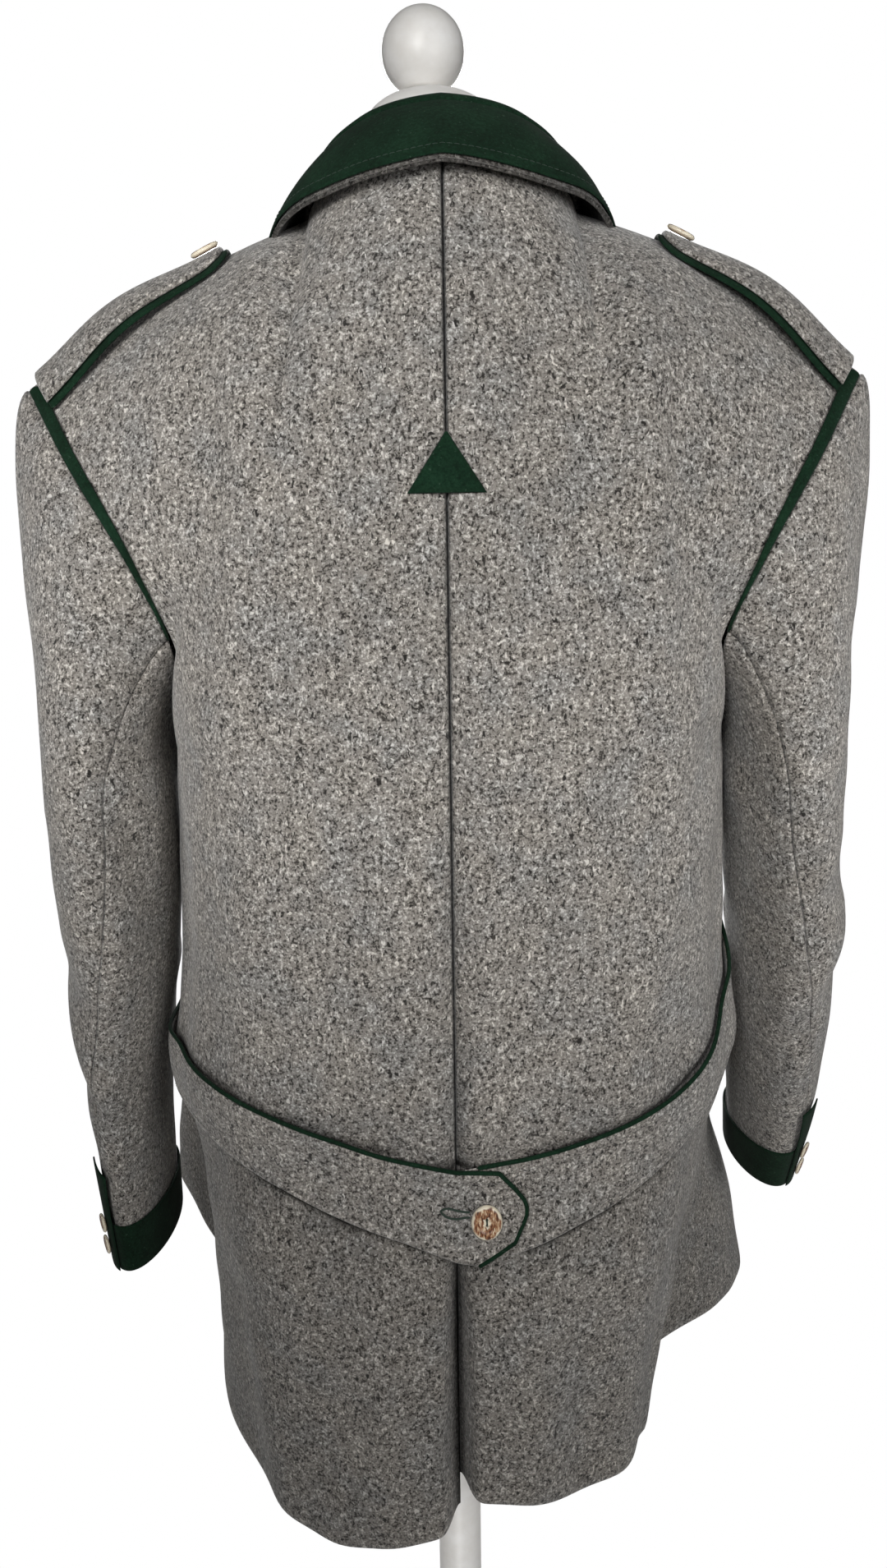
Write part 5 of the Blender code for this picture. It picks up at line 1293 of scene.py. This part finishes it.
def over_back(xs, z, clearance):
    """Points over the smooth back at distances from the centre and a height."""
    us, span = np.linspace(0, 0.3, 40), np.linspace(0.2, 0.95, 60)
    found = []
    for side in SIDES:
        rows = back_upper(side, us[:, None], span[None, :], False)
        found.append([[np.interp(z, row[:, 2], row[:, 0]), np.interp(z, row[:, 2], row[:, 1])]
                      for row in rows])
    found = np.array(sorted(found[1][:0:-1] + found[0]))
    return np.stack([xs, np.interp(xs, *found.T) + clearance, np.full_like(xs, z)], axis=-1)


low, high = [], []
for z in np.linspace(TRIANGLE_FOOT, TRIANGLE_TOP - 0.0008, 14):
    reach = TRIANGLE_HALF * (TRIANGLE_TOP - z) / (TRIANGLE_TOP - TRIANGLE_FOOT)
    xs = np.linspace(-reach, reach, 17)
    low.append(over_back(xs, z, GAP))
    high.append(over_back(xs, z, GAP + FELT * 1.1))
piece = shell("cloth_back_triangle", high, low, green, ["back_triangle"])
cut(piece, high, "laid", ["cloth_back_left", "cloth_back_right"])

# %% [markdown]
# ## Half belt
#
# Two belt pieces come round from the side seams and dip towards the centre back.  The left one
# laps over the right one and ends in a blunt point.  Each lies on the back along its own line,
# and the left piece climbs over the end of the right one.

# %% Belt pieces
BELT_LINE_COLUMNS = ("distance", "rise")
BELT_RISES = {
    "left": ((.0, .000), (.034, .009), (.074, .020), (.110, .032), (.143, .041), (.190, .050),
             (.260, .056)),
    "right": ((.0, .000), (.045, .006), (.076, .014), (.101, .022), (.130, .034), (.165, .051),
              (.195, .072), (.260, .116)),
}
BELT_EDGE_COLUMNS = ("distance", "above", "below")
BELT_EDGES = {
    "left": ((-.0415, .0020, -.0030), (-.0400, .0070, -.0080), (-.0345, .0150, -.0205),
             (-.0245, .0275, -.0270), (-.0125, .0285, -.0340), (.0000, .0290, -.0320),
             (.0320, .0285, -.0285), (.0650, .0280, -.0280), (.1100, .0260, -.0260),
             (.1700, .0230, -.0230), (.2600, .0210, -.0210)),
    "right": ((-.0300, .0240, -.0220), (.0000, .0270, -.0280), (.0270, .0290, -.0340),
              (.0500, .0290, -.0320), (.0755, .0285, -.0290), (.1100, .0270, -.0270),
              (.1700, .0240, -.0240), (.2600, .0210, -.0210)),
}
BELT_END = 0.485        # share of the half section where the belt is sewn in
BELT_LIFT = 0.0020      # off the back
BELT_OVER = 0.075       # from here on the left piece climbs over the end of the right one
BELT_CLIMB = 0.040      # over this length
PIPED_TO = -0.0125      # and the left piece's runs round its point to here
PIPED_FROM = 0.012        # the right piece's piping shows from here outward


def belt_run(side):
    """Shares of the half section at the belt line and the lengths up to them."""
    alongs = np.linspace(0, 0.6, 120)
    line = body_point(side, alongs, np.full_like(alongs, BELT_LINE), creased=False)
    return alongs, np.concatenate([[0.0], np.cumsum(np.linalg.norm(np.diff(line, axis=0), axis=1))])


def belt_place(side, distance, offset, clearance):
    """Points over the back at distances from the centre and offsets from the belt's line."""
    distance, offset, clearance = np.broadcast_arrays(distance, offset, clearance)
    place, face = np.zeros((2, *distance.shape, 3))
    other = "right" if side == "left" else "left"
    for use, here in ((side, distance >= 0), (other, distance < 0)):
        alongs, run = belt_run(use)
        table = np.array(BELT_RISES[side])
        rise = spline(table[:, 0], table[:, 1], np.clip(distance[here], 0, None)) if use == side else 0.0
        along = np.interp(np.abs(distance[here]), run, alongs)
        z = BELT_LINE + rise + offset[here]
        flat = body_point(use, along, z, creased=False)
        step = body_point(use, along + 0.002, z, creased=False) - flat
        climb = body_point(use, along, z + 0.002, creased=False) - flat
        face[here] = unit(np.cross(climb, step)) * SIDES[use]
        place[here] = flat + face[here] * clearance[here][:, None]
    return place, face


def belt_clearance(side, distance):
    """Height off the back: the left piece climbs over the end of the right one."""
    over = smooth((BELT_OVER - distance) / BELT_CLIMB) if side == "left" else 0.0
    return BELT_LIFT + (LODEN + 2 * GAP) * over


def belt_stations(side):
    """Distances along a belt piece and the offsets of its two edges at each."""
    table = np.array(BELT_EDGES[side])
    alongs, run = belt_run(side)
    sewn_in = np.interp(BELT_END, alongs, run)
    reach = np.concatenate([np.linspace(table[0, 0], 0.0, 48)[:-1], np.linspace(0.0, sewn_in, 84)])
    return reach, np.interp(reach, *table[:, :2].T), np.interp(reach, table[:, 0], table[:, 2])


BELTS = {}
for side in SIDES:
    stations, above, below = belt_stations(side)
    share = np.linspace(0, 1, 17)
    offset = below[:, None] + (above - below)[:, None] * share
    rise = belt_clearance(side, stations)[:, None] if side == "left" else BELT_LIFT
    faces = [belt_place(side, stations[:, None], offset, rise + thick)[0] for thick in (0.0, LODEN)]
    piece = shell(f"cloth_belt_{side}", faces[1], faces[0], loden, [f"belt_{side}"])
    BELTS[side] = (piece, faces[1], stations, above, below)
for side, (piece, top, *_) in BELTS.items():
    rests = [f"cloth_back_{side}"] + (["cloth_belt_right"] if side == "left" else [])
    cut(piece, top, "laid", rests)

# %% [markdown]
# ## Painted shade lines
#
# Along a seam and under another piece little light reaches the cloth, and here that is painted
# shade: a dark line in the loden's colour, with its sheen taken away.  The loden's finish takes
# that from a number at every point: the centre seam, the pleat's shadow, the vent, and the body
# along both edges of the belt.  The wider soft bands beside the pleat and the belt are painted
# shadow too, because the lamps alone leave those places too light.

# %% Painted shade lines on the back
SEAM_LINE = 0.0011        # half the width of the painted dark line along the centre seam
EDGE_SHADE = 0.0036       # of the painted shadow line along the belt
ALLOWANCE = 0.009         # cloth left behind the seam on each side, pressed open


def back_painted_shade(side):
    """Painted shade at each point of a back panel, 0 to 1, for the given side."""
    edges = np.concatenate([BELTS[use][1][:, (0, -1)] for use in ("right", "left")])
    order = np.argsort(edges[:, 0, 0])
    edges = edges[order]

    def depth(points):
        across, z = np.abs(points[:, 0]), points[:, 2]
        # Painted shade: a dark line along the centre seam, the pleat's and the vent's shadow, and painted
        # shadow along both edges of the belt.
        seam = 0.92 * np.exp(-(across / SEAM_LINE) ** 2)
        pleat = (0.42 if side == "right" else 0.15) * smooth((1.22 - z) / 0.25) * np.exp(-across / 0.006)
        vent = 0.85 * smooth((0.915 - z) / 0.02) * np.exp(-(across / 0.0042) ** 2)
        low = np.interp(points[:, 0], edges[:, 0, 0], edges[:, 0, 2]) - z
        high = z - np.interp(points[:, 0], edges[:, 1, 0], edges[:, 1, 2])
        at_back = points[:, 1] > 0.0
        soft = 0.34 if side == "left" else 0.28
        below = np.where(low > -0.002, 0.85 * np.exp(-(low / EDGE_SHADE) ** 2)
                         + soft * np.exp(-np.maximum(low, 0) / 0.030), 0)
        above = np.where(high > -0.002, 0.50 * np.exp(-(high / 0.004) ** 2)
                         + 0.18 * np.exp(-np.maximum(high, 0) / 0.012), 0)
        return np.maximum(np.maximum(seam, vent), pleat + (below + above) * at_back)

    return depth


for side, piece in BACKS.items():
    paint_shade(piece, back_painted_shade(side))
seam = PANELS["back", "left"][PANEL_H > -0.60][:-2, 0]
seam = seam * np.array([0.0, 1.0, 1.0]) - np.array([0.0, 0.0012, 0.0])
width = np.linspace(-ALLOWANCE, ALLOWANCE, 5)
outer = seam[:, None] + np.stack([width, -0.02 * np.abs(width), 0 * width], axis=-1)
inner = outer - np.array([0.0, 0.0012, 0.0])
# The seam allowance is real cloth; its near-black colour is painted shade, because hardly any light gets
# behind the seam.
piece = shell("cloth_seam_allowance", outer, inner, loden, ["back_left"])
cut(piece, outer, "laid", ["cloth_back_left", "cloth_back_right"])
ALLOWANCE_SHADE = 0.95    # hardly any light gets behind the seam
paint_shade(piece, lambda points: np.full(len(points), ALLOWANCE_SHADE))
print("pressed lines on:", sorted(piece.name for piece in BACKS.values()))

# %% [markdown]
# ## Belt piping
#
# A round cord covered with green cloth is sewn into the belt's edge.  It runs along the upper
# edge and, on the left piece, round the point.  The cloth round it is really 8.8 mm wide.  Its
# call says NARROWEST, and half the cord's surface as its area, because a closed surface is
# counted there as the two faces of one cloth.  So neither figure is the size of a real cut.

# %% Belt piping
CORD = 0.0014             # half the cord's thickness


def tube(name, path, radius, finish, replaced, facing=None, sides=10):
    """A closed round cord along a path, with domed ends."""
    path = np.asarray(path, float)
    ahead = unit(np.gradient(path, axis=0))
    guide = np.array([0.0, 0.3, 1.0]) if facing is None else facing
    side_way = unit(np.cross(ahead, guide))
    up_way = unit(np.cross(side_way, ahead))
    angle = 2 * math.pi * np.arange(sides) / sides
    rings = (path[:, None] + radius * (np.cos(angle)[None, :, None] * side_way[:, None]
                                       + np.sin(angle)[None, :, None] * up_way[:, None]))
    first = path[0] + (rings[0] - path[0]) * 0.5 - ahead[0] * radius * 0.6
    last = path[-1] + (rings[-1] - path[-1]) * 0.5 + ahead[-1] * radius * 0.6
    rings = np.concatenate([[first], rings, [last]])
    count = len(rings)
    faces = [(i * sides + j, i * sides + (j + 1) % sides, (i + 1) * sides + (j + 1) % sides,
              (i + 1) * sides + j) for i in range(count - 1) for j in range(sides)]
    faces += [tuple(range(sides))[::-1], tuple((count - 1) * sides + j for j in range(sides))]
    return add_piece(name, rings.reshape(-1, 3), faces, finish, replaced), rings


for side in SIDES:
    _, _, stations, above, below = BELTS[side]
    edge = list(zip(stations, above))[::-1]
    if side == "left":
        edge += [(d, low) for d, low in zip(stations, below) if d <= PIPED_TO]
    else:
        edge = [(d, high) for d, high in edge if d > PIPED_FROM]
    reach, offset = np.array(edge).T
    path, facing = belt_place(side, reach, offset, belt_clearance(side, reach) + LODEN * 0.75)
    piece, rings = tube(f"cloth_belt_piping_{side}", path, CORD, green, [f"belt_piping_{side}"],
                        facing)

# %% [markdown]
# ## Horn buttons
#
# Each button is a turned oval slice: a dished middle with two drilled holes, a raised ring and
# a rim that rounds off to a smaller seat.  It is modelled as rings of points whose height
# follows that profile, sunk where the holes are.  Two points of colour are painted on: the worn
# rim and middle, and painted shade in the drilled holes.  A few turns of thread join the holes.

# %% Button shape
BUTTON_RADIUS = 0.0110
BUTTON_THICKNESS = 0.0038
BUTTON_OVAL = 0.86       # breadth over height
BUTTON_SEAT = 0.0008     # off the cloth
FRONT_SEAT = 0.0011      # on the rounder fronts and straps
CUFF_BUTTON = 0.0070
BELT_BUTTON = (-0.0175, -0.0055)    # distance from the centre and offset up on the belt
CUFF_BUTTONS = (0.018, 0.036)       # heights over the cuff's edge
FRONT_BUTTONS = (-0.36, -0.08, 0.22, 0.54)    # places between hem, armpit and neck
FRONT_BUTTON_LINE = 0.90            # share of the front's breadth
HOLE_APART = 0.17         # of the holes from the middle, in button radii
HOLE_SIZE = 0.085
BUTTON_RINGS, BUTTON_STEPS = 44, 72


def button_height(share):
    """Height of the face over the seat, in thicknesses, at a share of the radius."""
    return np.interp(share, (0, .30, .48, .62, .80, .92, .975, 1.0),
                     (.74, .76, .84, 1.0, 1.0, .88, .68, .46))


def horn_button(name, place, facing, size, stand):
    """A horn button whose seat stands a little off the cloth at a place."""
    thick = BUTTON_THICKNESS * size / BUTTON_RADIUS
    angle = 2 * math.pi * np.arange(BUTTON_STEPS) / BUTTON_STEPS
    shares = np.linspace(0.02, 1.0, BUTTON_RINGS)
    points, worn, painted_hole_shade = [], [], []
    for share in shares:
        for turn in angle:
            x, y = share * math.cos(turn), share * math.sin(turn)
            hole = min(math.hypot(x, y - HOLE_APART), math.hypot(x, y + HOLE_APART))
            sunk = 0.45 * smooth((HOLE_SIZE * 1.25 - hole) / (HOLE_SIZE * 0.6))
            ragged = 0.05 * math.sin(5 * turn + 2.1) + 0.03 * math.sin(11 * turn)
            points.append((x * BUTTON_OVAL * size, y * size, (button_height(share) - sunk) * thick))
            worn.append(max(float(smooth((share - 0.84 - ragged) / 0.08)),
                            float(smooth((0.34 + ragged - math.hypot(x * 1.3, y)) / 0.10))))
            # Painted shade in the holes, in place of the shadow inside them.
            painted_hole_shade.append(float(smooth((HOLE_SIZE - hole) / 0.03)))
    for share, height in ((0.93, 0.18), (0.80, 0.0), (0.02, 0.0)):
        for turn in angle:
            points.append((share * math.cos(turn) * BUTTON_OVAL * size,
                           share * math.sin(turn) * size, height * thick))
            worn.append(0.4)
            painted_hole_shade.append(0.0)
    rings = BUTTON_RINGS + 3
    steps = BUTTON_STEPS
    faces = [(i * steps + j, i * steps + (j + 1) % steps, (i + 1) * steps + (j + 1) % steps,
              (i + 1) * steps + j) for i in range(rings - 1) for j in range(steps)]
    faces += [tuple(range(steps))[::-1], tuple((rings - 1) * steps + j for j in range(steps))]
    piece = add_piece(f"horn_{name}", points, faces, horn, [name])
    for label, values in (("worn", worn), ("painted_hole_shade", painted_hole_shade)):
        piece.data.attributes.new(label, "FLOAT", "POINT").data.foreach_set("value", values)
    axis = Vector([float(v) for v in facing]).normalized()
    turn = axis.to_track_quat("Z", "Y")
    piece.matrix_world = turn.to_matrix().to_4x4()
    seat = Vector([float(v) for v in place]) + axis * stand
    piece.location = Vector(lifted([seat])[0])
    for strand in (-1, 0, 1):
        span = np.linspace(-1, 1, 9)
        line = [(strand * size * 0.028, s * size * HOLE_APART,
                 thick * (0.80 - 0.35 * abs(s) ** 6)) for s in span]
        sewn = [turn @ Vector(p) + seat for p in line]
        tube(f"thread_{name}_{strand + 2}", sewn, size * 0.020, thread_green, None, sides=6)
    return piece


# %% Sew the buttons on
distance, offset = BELT_BUTTON
places, faces = belt_place("left", np.array([distance]), offset, belt_clearance("left", distance) + LODEN)
horn_button("belt_button", places[0], faces[0], BUTTON_RADIUS, BUTTON_SEAT)
STRAP_BUTTON_SHARE = STRAP_START + (STRAP_END - STRAP_START) / 14
for side in SIDES:
    top, shares = STRAP_TOPS[side]
    near = int(np.argmin(np.abs(shares - STRAP_BUTTON_SHARE)))
    middle = STRAP_COLUMNS // 2
    facing = np.cross(top[near, middle + 3] - top[near, middle - 3],
                      top[near + 3, middle] - top[near - 3, middle])
    facing *= np.sign(facing[2])
    horn_button(f"strap_button_{side}", top[near, middle], facing, STRAP_BUTTON, FRONT_SEAT * 0.4)
    for number, lift in enumerate(CUFF_BUTTONS, 1):
        height = sleeve_bottom(side) + lift
        swell = 2 * GAP + 0.0012 + 2 * FELT
        row, above = band_row(side, height, swell), band_row(side, height + 0.006, swell)
        facing = np.cross(row[-1] - row[0], above[2] - row[2]) * SIDES[side]
        horn_button(f"cuff_button_{side}_{number}", row[2], facing, CUFF_BUTTON, BUTTON_SEAT)
for number, h in enumerate(FRONT_BUTTONS, 1):
    u, h = np.array([FRONT_BUTTON_LINE]), np.array([h])
    horn_button(f"front_button_{number}", front_surface("right", u, h)[0],
                normals(front_surface, "right", u, h)[0], BUTTON_RADIUS, FRONT_SEAT)

# %% [markdown]
# ## Sewing
#
# Lockstitch shows as a row of short thread lengths that sink into the cloth at each end.  Each
# stitch here is a small capsule, 3 mm long with a 0.8 mm gap, laid along a line that is taken
# from the piece's own points.  All stitches of a line are one mesh.  A worked buttonhole is a
# slit edged with dense thread: two cords with a bar across the end.

# %% Stitch lines
STITCH, STITCH_GAP = 3.0 * MM, 0.9 * MM
THREAD = 0.22 * MM
STITCH_SECTION = 6


def stitch_line(name, path, facing, finish, radius=THREAD):
    """Stitches along a path on cloth, as one mesh."""
    path, facing = np.asarray(path, float), np.asarray(facing, float)
    run = np.concatenate([[0.0], np.cumsum(np.linalg.norm(np.diff(path, axis=0), axis=1))])
    angle = 2 * math.pi * np.arange(STITCH_SECTION) / STITCH_SECTION
    points, faces = [], []
    starts = np.arange(STITCH_GAP, run[-1] - STITCH, STITCH + STITCH_GAP)
    for start in starts:
        places = start + STITCH * np.linspace(0, 1, 5)
        line = np.stack([np.interp(places, run, path[:, k]) for k in range(3)], axis=-1)
        up = unit(np.stack([np.interp(places, run, facing[:, k]) for k in range(3)], axis=-1))
        ahead = unit(np.gradient(line, axis=0))
        aside = unit(np.cross(ahead, up))
        bulge = np.array([0.45, 0.95, 1.0, 0.95, 0.45])
        line = line + up * (radius * (bulge - 0.55))[:, None]
        first = len(points)
        for k in range(5):
            ring = line[k] + radius * bulge[k] * (np.cos(angle)[:, None] * aside[k]
                                                  + np.sin(angle)[:, None] * up[k])
            points.extend(ring)
        for k in range(4):
            for j in range(STITCH_SECTION):
                n = (j + 1) % STITCH_SECTION
                a = first + k * STITCH_SECTION
                faces.append((a + j, a + n, a + STITCH_SECTION + n, a + STITCH_SECTION + j))
        faces.append(tuple(first + j for j in range(STITCH_SECTION))[::-1])
        faces.append(tuple(first + 4 * STITCH_SECTION + j for j in range(STITCH_SECTION)))
    print(name, "stitches:", len(starts))
    return add_piece(name, points, faces, finish, None)


row = -4
stitch_line("stitches_collar_edge", top_collar[row], collar_face[row], thread_green)
stitch_line("stitches_collar_lip", under[-2] + under_face[-2] * 0.0001, under_face[-2], thread_grey)
for side in SIDES:
    top = STRAP_TOPS[side][0]
    up = unit(np.cross(np.gradient(top, axis=0), np.gradient(top, axis=1))) * SIDES[side]
    rim = [(i, 2) for i in range(len(top) - 2, 2, -1)] + [(3, j) for j in range(2, 19)]
    rim += [(i, 18) for i in range(3, len(top) - 1)]
    i, j = np.array(rim).T
    stitch_line(f"stitches_strap_{side}", top[i, j], up[i, j], thread_grey)
    _, grid, stations, _, _ = BELTS[side]
    faces_up = belt_place(side, stations, 0.0, 0.0)[1]
    stitch_line(f"stitches_belt_top_{side}", grid[2:-2, -3], faces_up[2:-2], thread_grey)
    stitch_line(f"stitches_belt_foot_{side}", grid[2:-2, 2], faces_up[2:-2], thread_grey)

# %% Worked buttonholes
HOLE_CORD = 0.75 * MM
BELT_HOLE = (0.0080, -0.0072, -0.0010, 0.0018)   # start, end, middle offset, half width


def worked_hole(name, place_at, start, end, middle, half, finish, slot):
    """Two thick cords of buttonhole stitch with a bar across the start."""
    outline = [(end, middle + half), (start, middle + half), (start + half * 0.8, middle),
               (start, middle - half), (end, middle - half)]
    corner_run = np.linspace(0, 1, 60)
    path = even_curve([(a, b, 0.0) for a, b in outline], corner_run)
    points, faces = place_at(path[:, 0], path[:, 1])
    return tube(name, points, HOLE_CORD, finish, None, faces)[0]


def on_belt(distance, offset):
    return belt_place("left", distance, offset, belt_clearance("left", distance) + LODEN + 0.0002)


worked_hole("buttonhole_belt", on_belt, *BELT_HOLE, thread_green, "green_cloth")


def on_left_front(distance, offset):
    """Points on the left front, from the hole's own height and the free edge."""
    u = 1.0 - distance / 0.16
    return front_surface("left", u, offset), normals(front_surface, "left", u, offset)


for number, h in enumerate(FRONT_BUTTONS, 1):
    worked_hole(f"buttonhole_front_{number}", on_left_front, 0.034, 0.014, h, 0.004, thread_green,
                "green_cloth")

# %% [markdown]
# ## Dress form and stand
#
# The form is a padded torso without limbs, covered with white jersey, with a shallow cap and a
# lacquered knob on its neck and a pole on a round base.  The turned pieces are profiles spun
# round an axis.  The torso keeps the shape of its solid, whose shoulders stay just below the
# cloth that they carry.

# %% Form and stand
FORM_COLUMNS = ("height", "centre_y", "half_width", "half_depth", "squareness")
FORM = (
    (0.790, -.010, .1000, .0800, 2.2),
    (0.800, -.010, .1180, .0950, 2.2),
    (0.860, -.008, .1400, .1120, 2.3),
    (0.955, -.004, .1360, .1060, 2.3),
    (1.050, -.004, .1440, .1080, 2.3),
    (1.180, -.002, .1560, .1180, 2.4),
    (1.290, .004, .1640, .1160, 2.4),
    (1.370, .012, .1900, .0980, 2.3),
    (1.420, .026, .2240, .0820, 2.2),
    (1.450, .044, .2040, .0480, 2.0),
    (1.478, .045, .1550, .0390, 2.0),
    (1.500, .036, .0980, .0400, 2.0),
    (1.525, .026, .0500, .0470, 2.0),
    (1.564, .022, .0425, .0420, 2.0),
)
CAP_RADIUS, CAP_RIM, CAP_DOME = 0.0420, 0.0050, 0.0247
KNOB_RADIUS, KNOB_SEAT, KNOB_ASIDE = 0.0250, 0.0120, 0.004
POLE_RADIUS, BASE_RADIUS, BASE_THICKNESS = 0.0160, 0.2100, 0.0180
NECK_CENTRE, NECK_TOP = (0.006, 0.022), 1.564


def spun(name, profile, centre, finish, node, steps=96):
    """A turned piece: its profile of radius and height spun round an upright axis."""
    angle = 2 * math.pi * np.arange(steps) / steps
    points = [(centre[0] + r * math.cos(a), centre[1] + r * math.sin(a), z)
              for r, z in profile for a in angle]
    faces = [(i * steps + j, i * steps + (j + 1) % steps, (i + 1) * steps + (j + 1) % steps,
              (i + 1) * steps + j) for i in range(len(profile) - 1) for j in range(steps)]
    last = (len(profile) - 1) * steps
    faces += [tuple(range(steps))[::-1], tuple(last + j for j in range(steps))]
    made = add_piece(name, points, faces, finish, [node])
    made.data.set_sharp_from_angle(angle=math.radians(40))
    return made


cap_foot = NECK_TOP + GAP
dome = [(CAP_RADIUS * math.sin(t), cap_foot + CAP_RIM + CAP_DOME * math.cos(t))
        for t in np.linspace(0.02, math.pi / 2, 24)]
spun("neck_cap_cover", dome + [(CAP_RADIUS, cap_foot + 0.0006), (CAP_RADIUS - 0.0006, cap_foot)],
     NECK_CENTRE, jersey, "neck_cap")
knob_foot = cap_foot + CAP_RIM + CAP_DOME + GAP
sunk = math.sqrt(KNOB_RADIUS**2 - KNOB_SEAT**2)
ball = [(KNOB_RADIUS * math.sin(t), knob_foot + sunk + KNOB_RADIUS * math.cos(t))
        for t in np.linspace(0.02, math.pi - math.asin(KNOB_SEAT / KNOB_RADIUS), 48)]
spun("lacquered_knob", ball, (NECK_CENTRE[0] + KNOB_ASIDE, NECK_CENTRE[1]), lacquer, "knob")
pole_top = FORM[0][0] - GAP
spun("lacquered_pole", [(POLE_RADIUS, pole_top), (POLE_RADIUS, BASE_THICKNESS + GAP)], (0, 0), lacquer,
     "pole")
lip = [(BASE_RADIUS - 0.006 + 0.006 * math.sin(t), 0.0055 + 0.0055 * math.cos(t))
       for t in np.linspace(0, math.pi / 2, 8)]
spun("lacquered_base", [(0.020, BASE_THICKNESS), (0.060, BASE_THICKNESS - 0.0002)] + lip
     + [(BASE_RADIUS, 0.0008), (BASE_RADIUS - 0.0012, 0.0)], (0, 0), lacquer, "base")

for node, finish in (("form_torso", jersey),):
    bpy.data.objects[node].material_slots[0].material = finish
print("form in", jersey.name)

# %% [markdown]
# ## Studio: floor, light and camera
#
# A plain pale floor runs to the horizon under a white sky, so that nothing but the jacket is
# seen.  The main soft lamp hangs high behind the camera and to its left, aimed at the shoulder
# blades, and a lower one beside it keeps the skirt readable, though darker.  Lamps at both sides
# round off the sleeves, one in front lights the edges, and a very weak sky keeps the deepest
# folds from going black.  Two small lamps belong to the stand: one under the jacket for the
# pole and one over the knob.

# %% Floor and sky
FLOOR_RADIUS = 6.0
floor_finish = bpy.data.materials.new("pale_floor")
floor_finish.use_nodes = True
tree = floor_finish.node_tree
paint = tree.nodes["Principled BSDF"]
paint.inputs["Base Color"].default_value = linear("#f4f3f1")
paint.inputs["Roughness"].default_value = 0.9
glow = add(tree, "Emission", Color=linear("#ffffff"), Strength=1.0)
seen = add(tree, "LightPath")
both = add(tree, "MixShader", Fac=seen.outputs["Is Camera Ray"])
tree.links.new(paint.outputs["BSDF"], both.inputs[1])
tree.links.new(glow.outputs["Emission"], both.inputs[2])
tree.links.new(both.outputs["Shader"], tree.nodes["Material Output"].inputs["Surface"])
bpy.ops.mesh.primitive_circle_add(vertices=96, radius=FLOOR_RADIUS, fill_type="NGON", location=(0, 0, 0))
floor = bpy.context.object
floor.name = "floor"
floor.data.materials.append(floor_finish)

world = bpy.data.worlds.new("studio")
bpy.context.scene.world = world
world.use_nodes = True
tree = world.node_tree
sky = tree.nodes["Background"]
sky.inputs["Color"].default_value = linear("#ffffff")
SKY_FILL = 0.04           # strength of the sky as a lamp
sky.inputs["Strength"].default_value = SKY_FILL
plain = add(tree, "Background", Color=linear("#ffffff"), Strength=1.0)
seen = add(tree, "LightPath")
both = add(tree, "MixShader", Fac=seen.outputs["Is Camera Ray"])
tree.links.new(sky.outputs["Background"], both.inputs[1])
tree.links.new(plain.outputs["Background"], both.inputs[2])
tree.links.new(both.outputs["Shader"], tree.nodes["World Output"].inputs["Surface"])
bpy.context.scene.view_settings.view_transform = "Standard"

# %% Lights
LIGHT_COLUMNS = ("name", "place", "aim", "size", "cone", "watts")     # cone 0 is a soft box
LIGHTS = (
    ("key_lamp", (0.35, 1.25, 1.60), (0.10, 0.10, 1.42), 0.25, 42, 39.0),
    ("low_lamp", (0.35, 1.25, 1.60), (-0.04, 0.10, 0.98), 0.25, 40, 29.0),
    ("right_softbox", (-0.70, 1.10, 1.35), (0.0, 0.10, 1.20), 0.5, 0, 4.7),
    ("left_sleeve_lamp", (0.90, 1.00, 1.50), (0.26, 0.0, 1.29), 0.25, 30, 52.0),
    ("right_sleeve_lamp", (-0.90, 1.00, 1.50), (-0.28, 0.0, 1.24), 0.25, 32, 46.0),
    ("front_softbox", (0.0, -2.00, 1.90), (0.0, 0.0, 1.10), 1.2, 0, 60.0),
    ("stand_lamp", (0.05, 0.45, 0.35), (0.0, 0.0, 0.60), 0.1, 24, 7.0),
    ("knob_lamp", (0.1, 0.80, 1.95), (0.0, 0.0, 1.60), 0.2, 20, 26.0),
)
EXPOSURE = 0.98           # all lamps together
for name, place, aim, size, cone, watts in LIGHTS:
    lamp = bpy.data.lights.new(name, "SPOT" if cone else "AREA")
    if cone:
        lamp.spot_size, lamp.spot_blend, lamp.shadow_soft_size = math.radians(cone), 1.0, size
    else:
        lamp.size = size
    lamp.energy = watts * EXPOSURE
    stand = bpy.data.objects.new(name, lamp)
    stand.location = place
    stand.rotation_euler = (Vector(aim) - Vector(place)).to_track_quat("-Z", "Y").to_euler()
    COLLECTION.objects.link(stand)
print("lights:", [row[0] for row in LIGHTS])

# %% [markdown]
# ## Camera
#
# The camera stands behind the jacket at chest height, 0.8 m off, and looks down by ten degrees
# with a wide lens.

# %% Camera
CAMERA_PLACE = (0.0042, 0.80, 1.307)
CAMERA_PITCH, CAMERA_ROLL, CAMERA_LENS = 80.0, -0.86, 27.19
eye = bpy.data.cameras.new("studio_camera")
eye.lens = CAMERA_LENS
eye.sensor_width = 36.0
eye.clip_start = 0.01
camera = bpy.data.objects.new("studio_camera", eye)
COLLECTION.objects.link(camera)
camera.matrix_world = (Matrix.Translation(CAMERA_PLACE) @ Matrix.Rotation(math.pi, 4, "Z")
                       @ Matrix.Rotation(math.radians(CAMERA_PITCH), 4, "X")
                       @ Matrix.Rotation(math.radians(CAMERA_ROLL), 4, "Z"))
bpy.context.scene.camera = camera
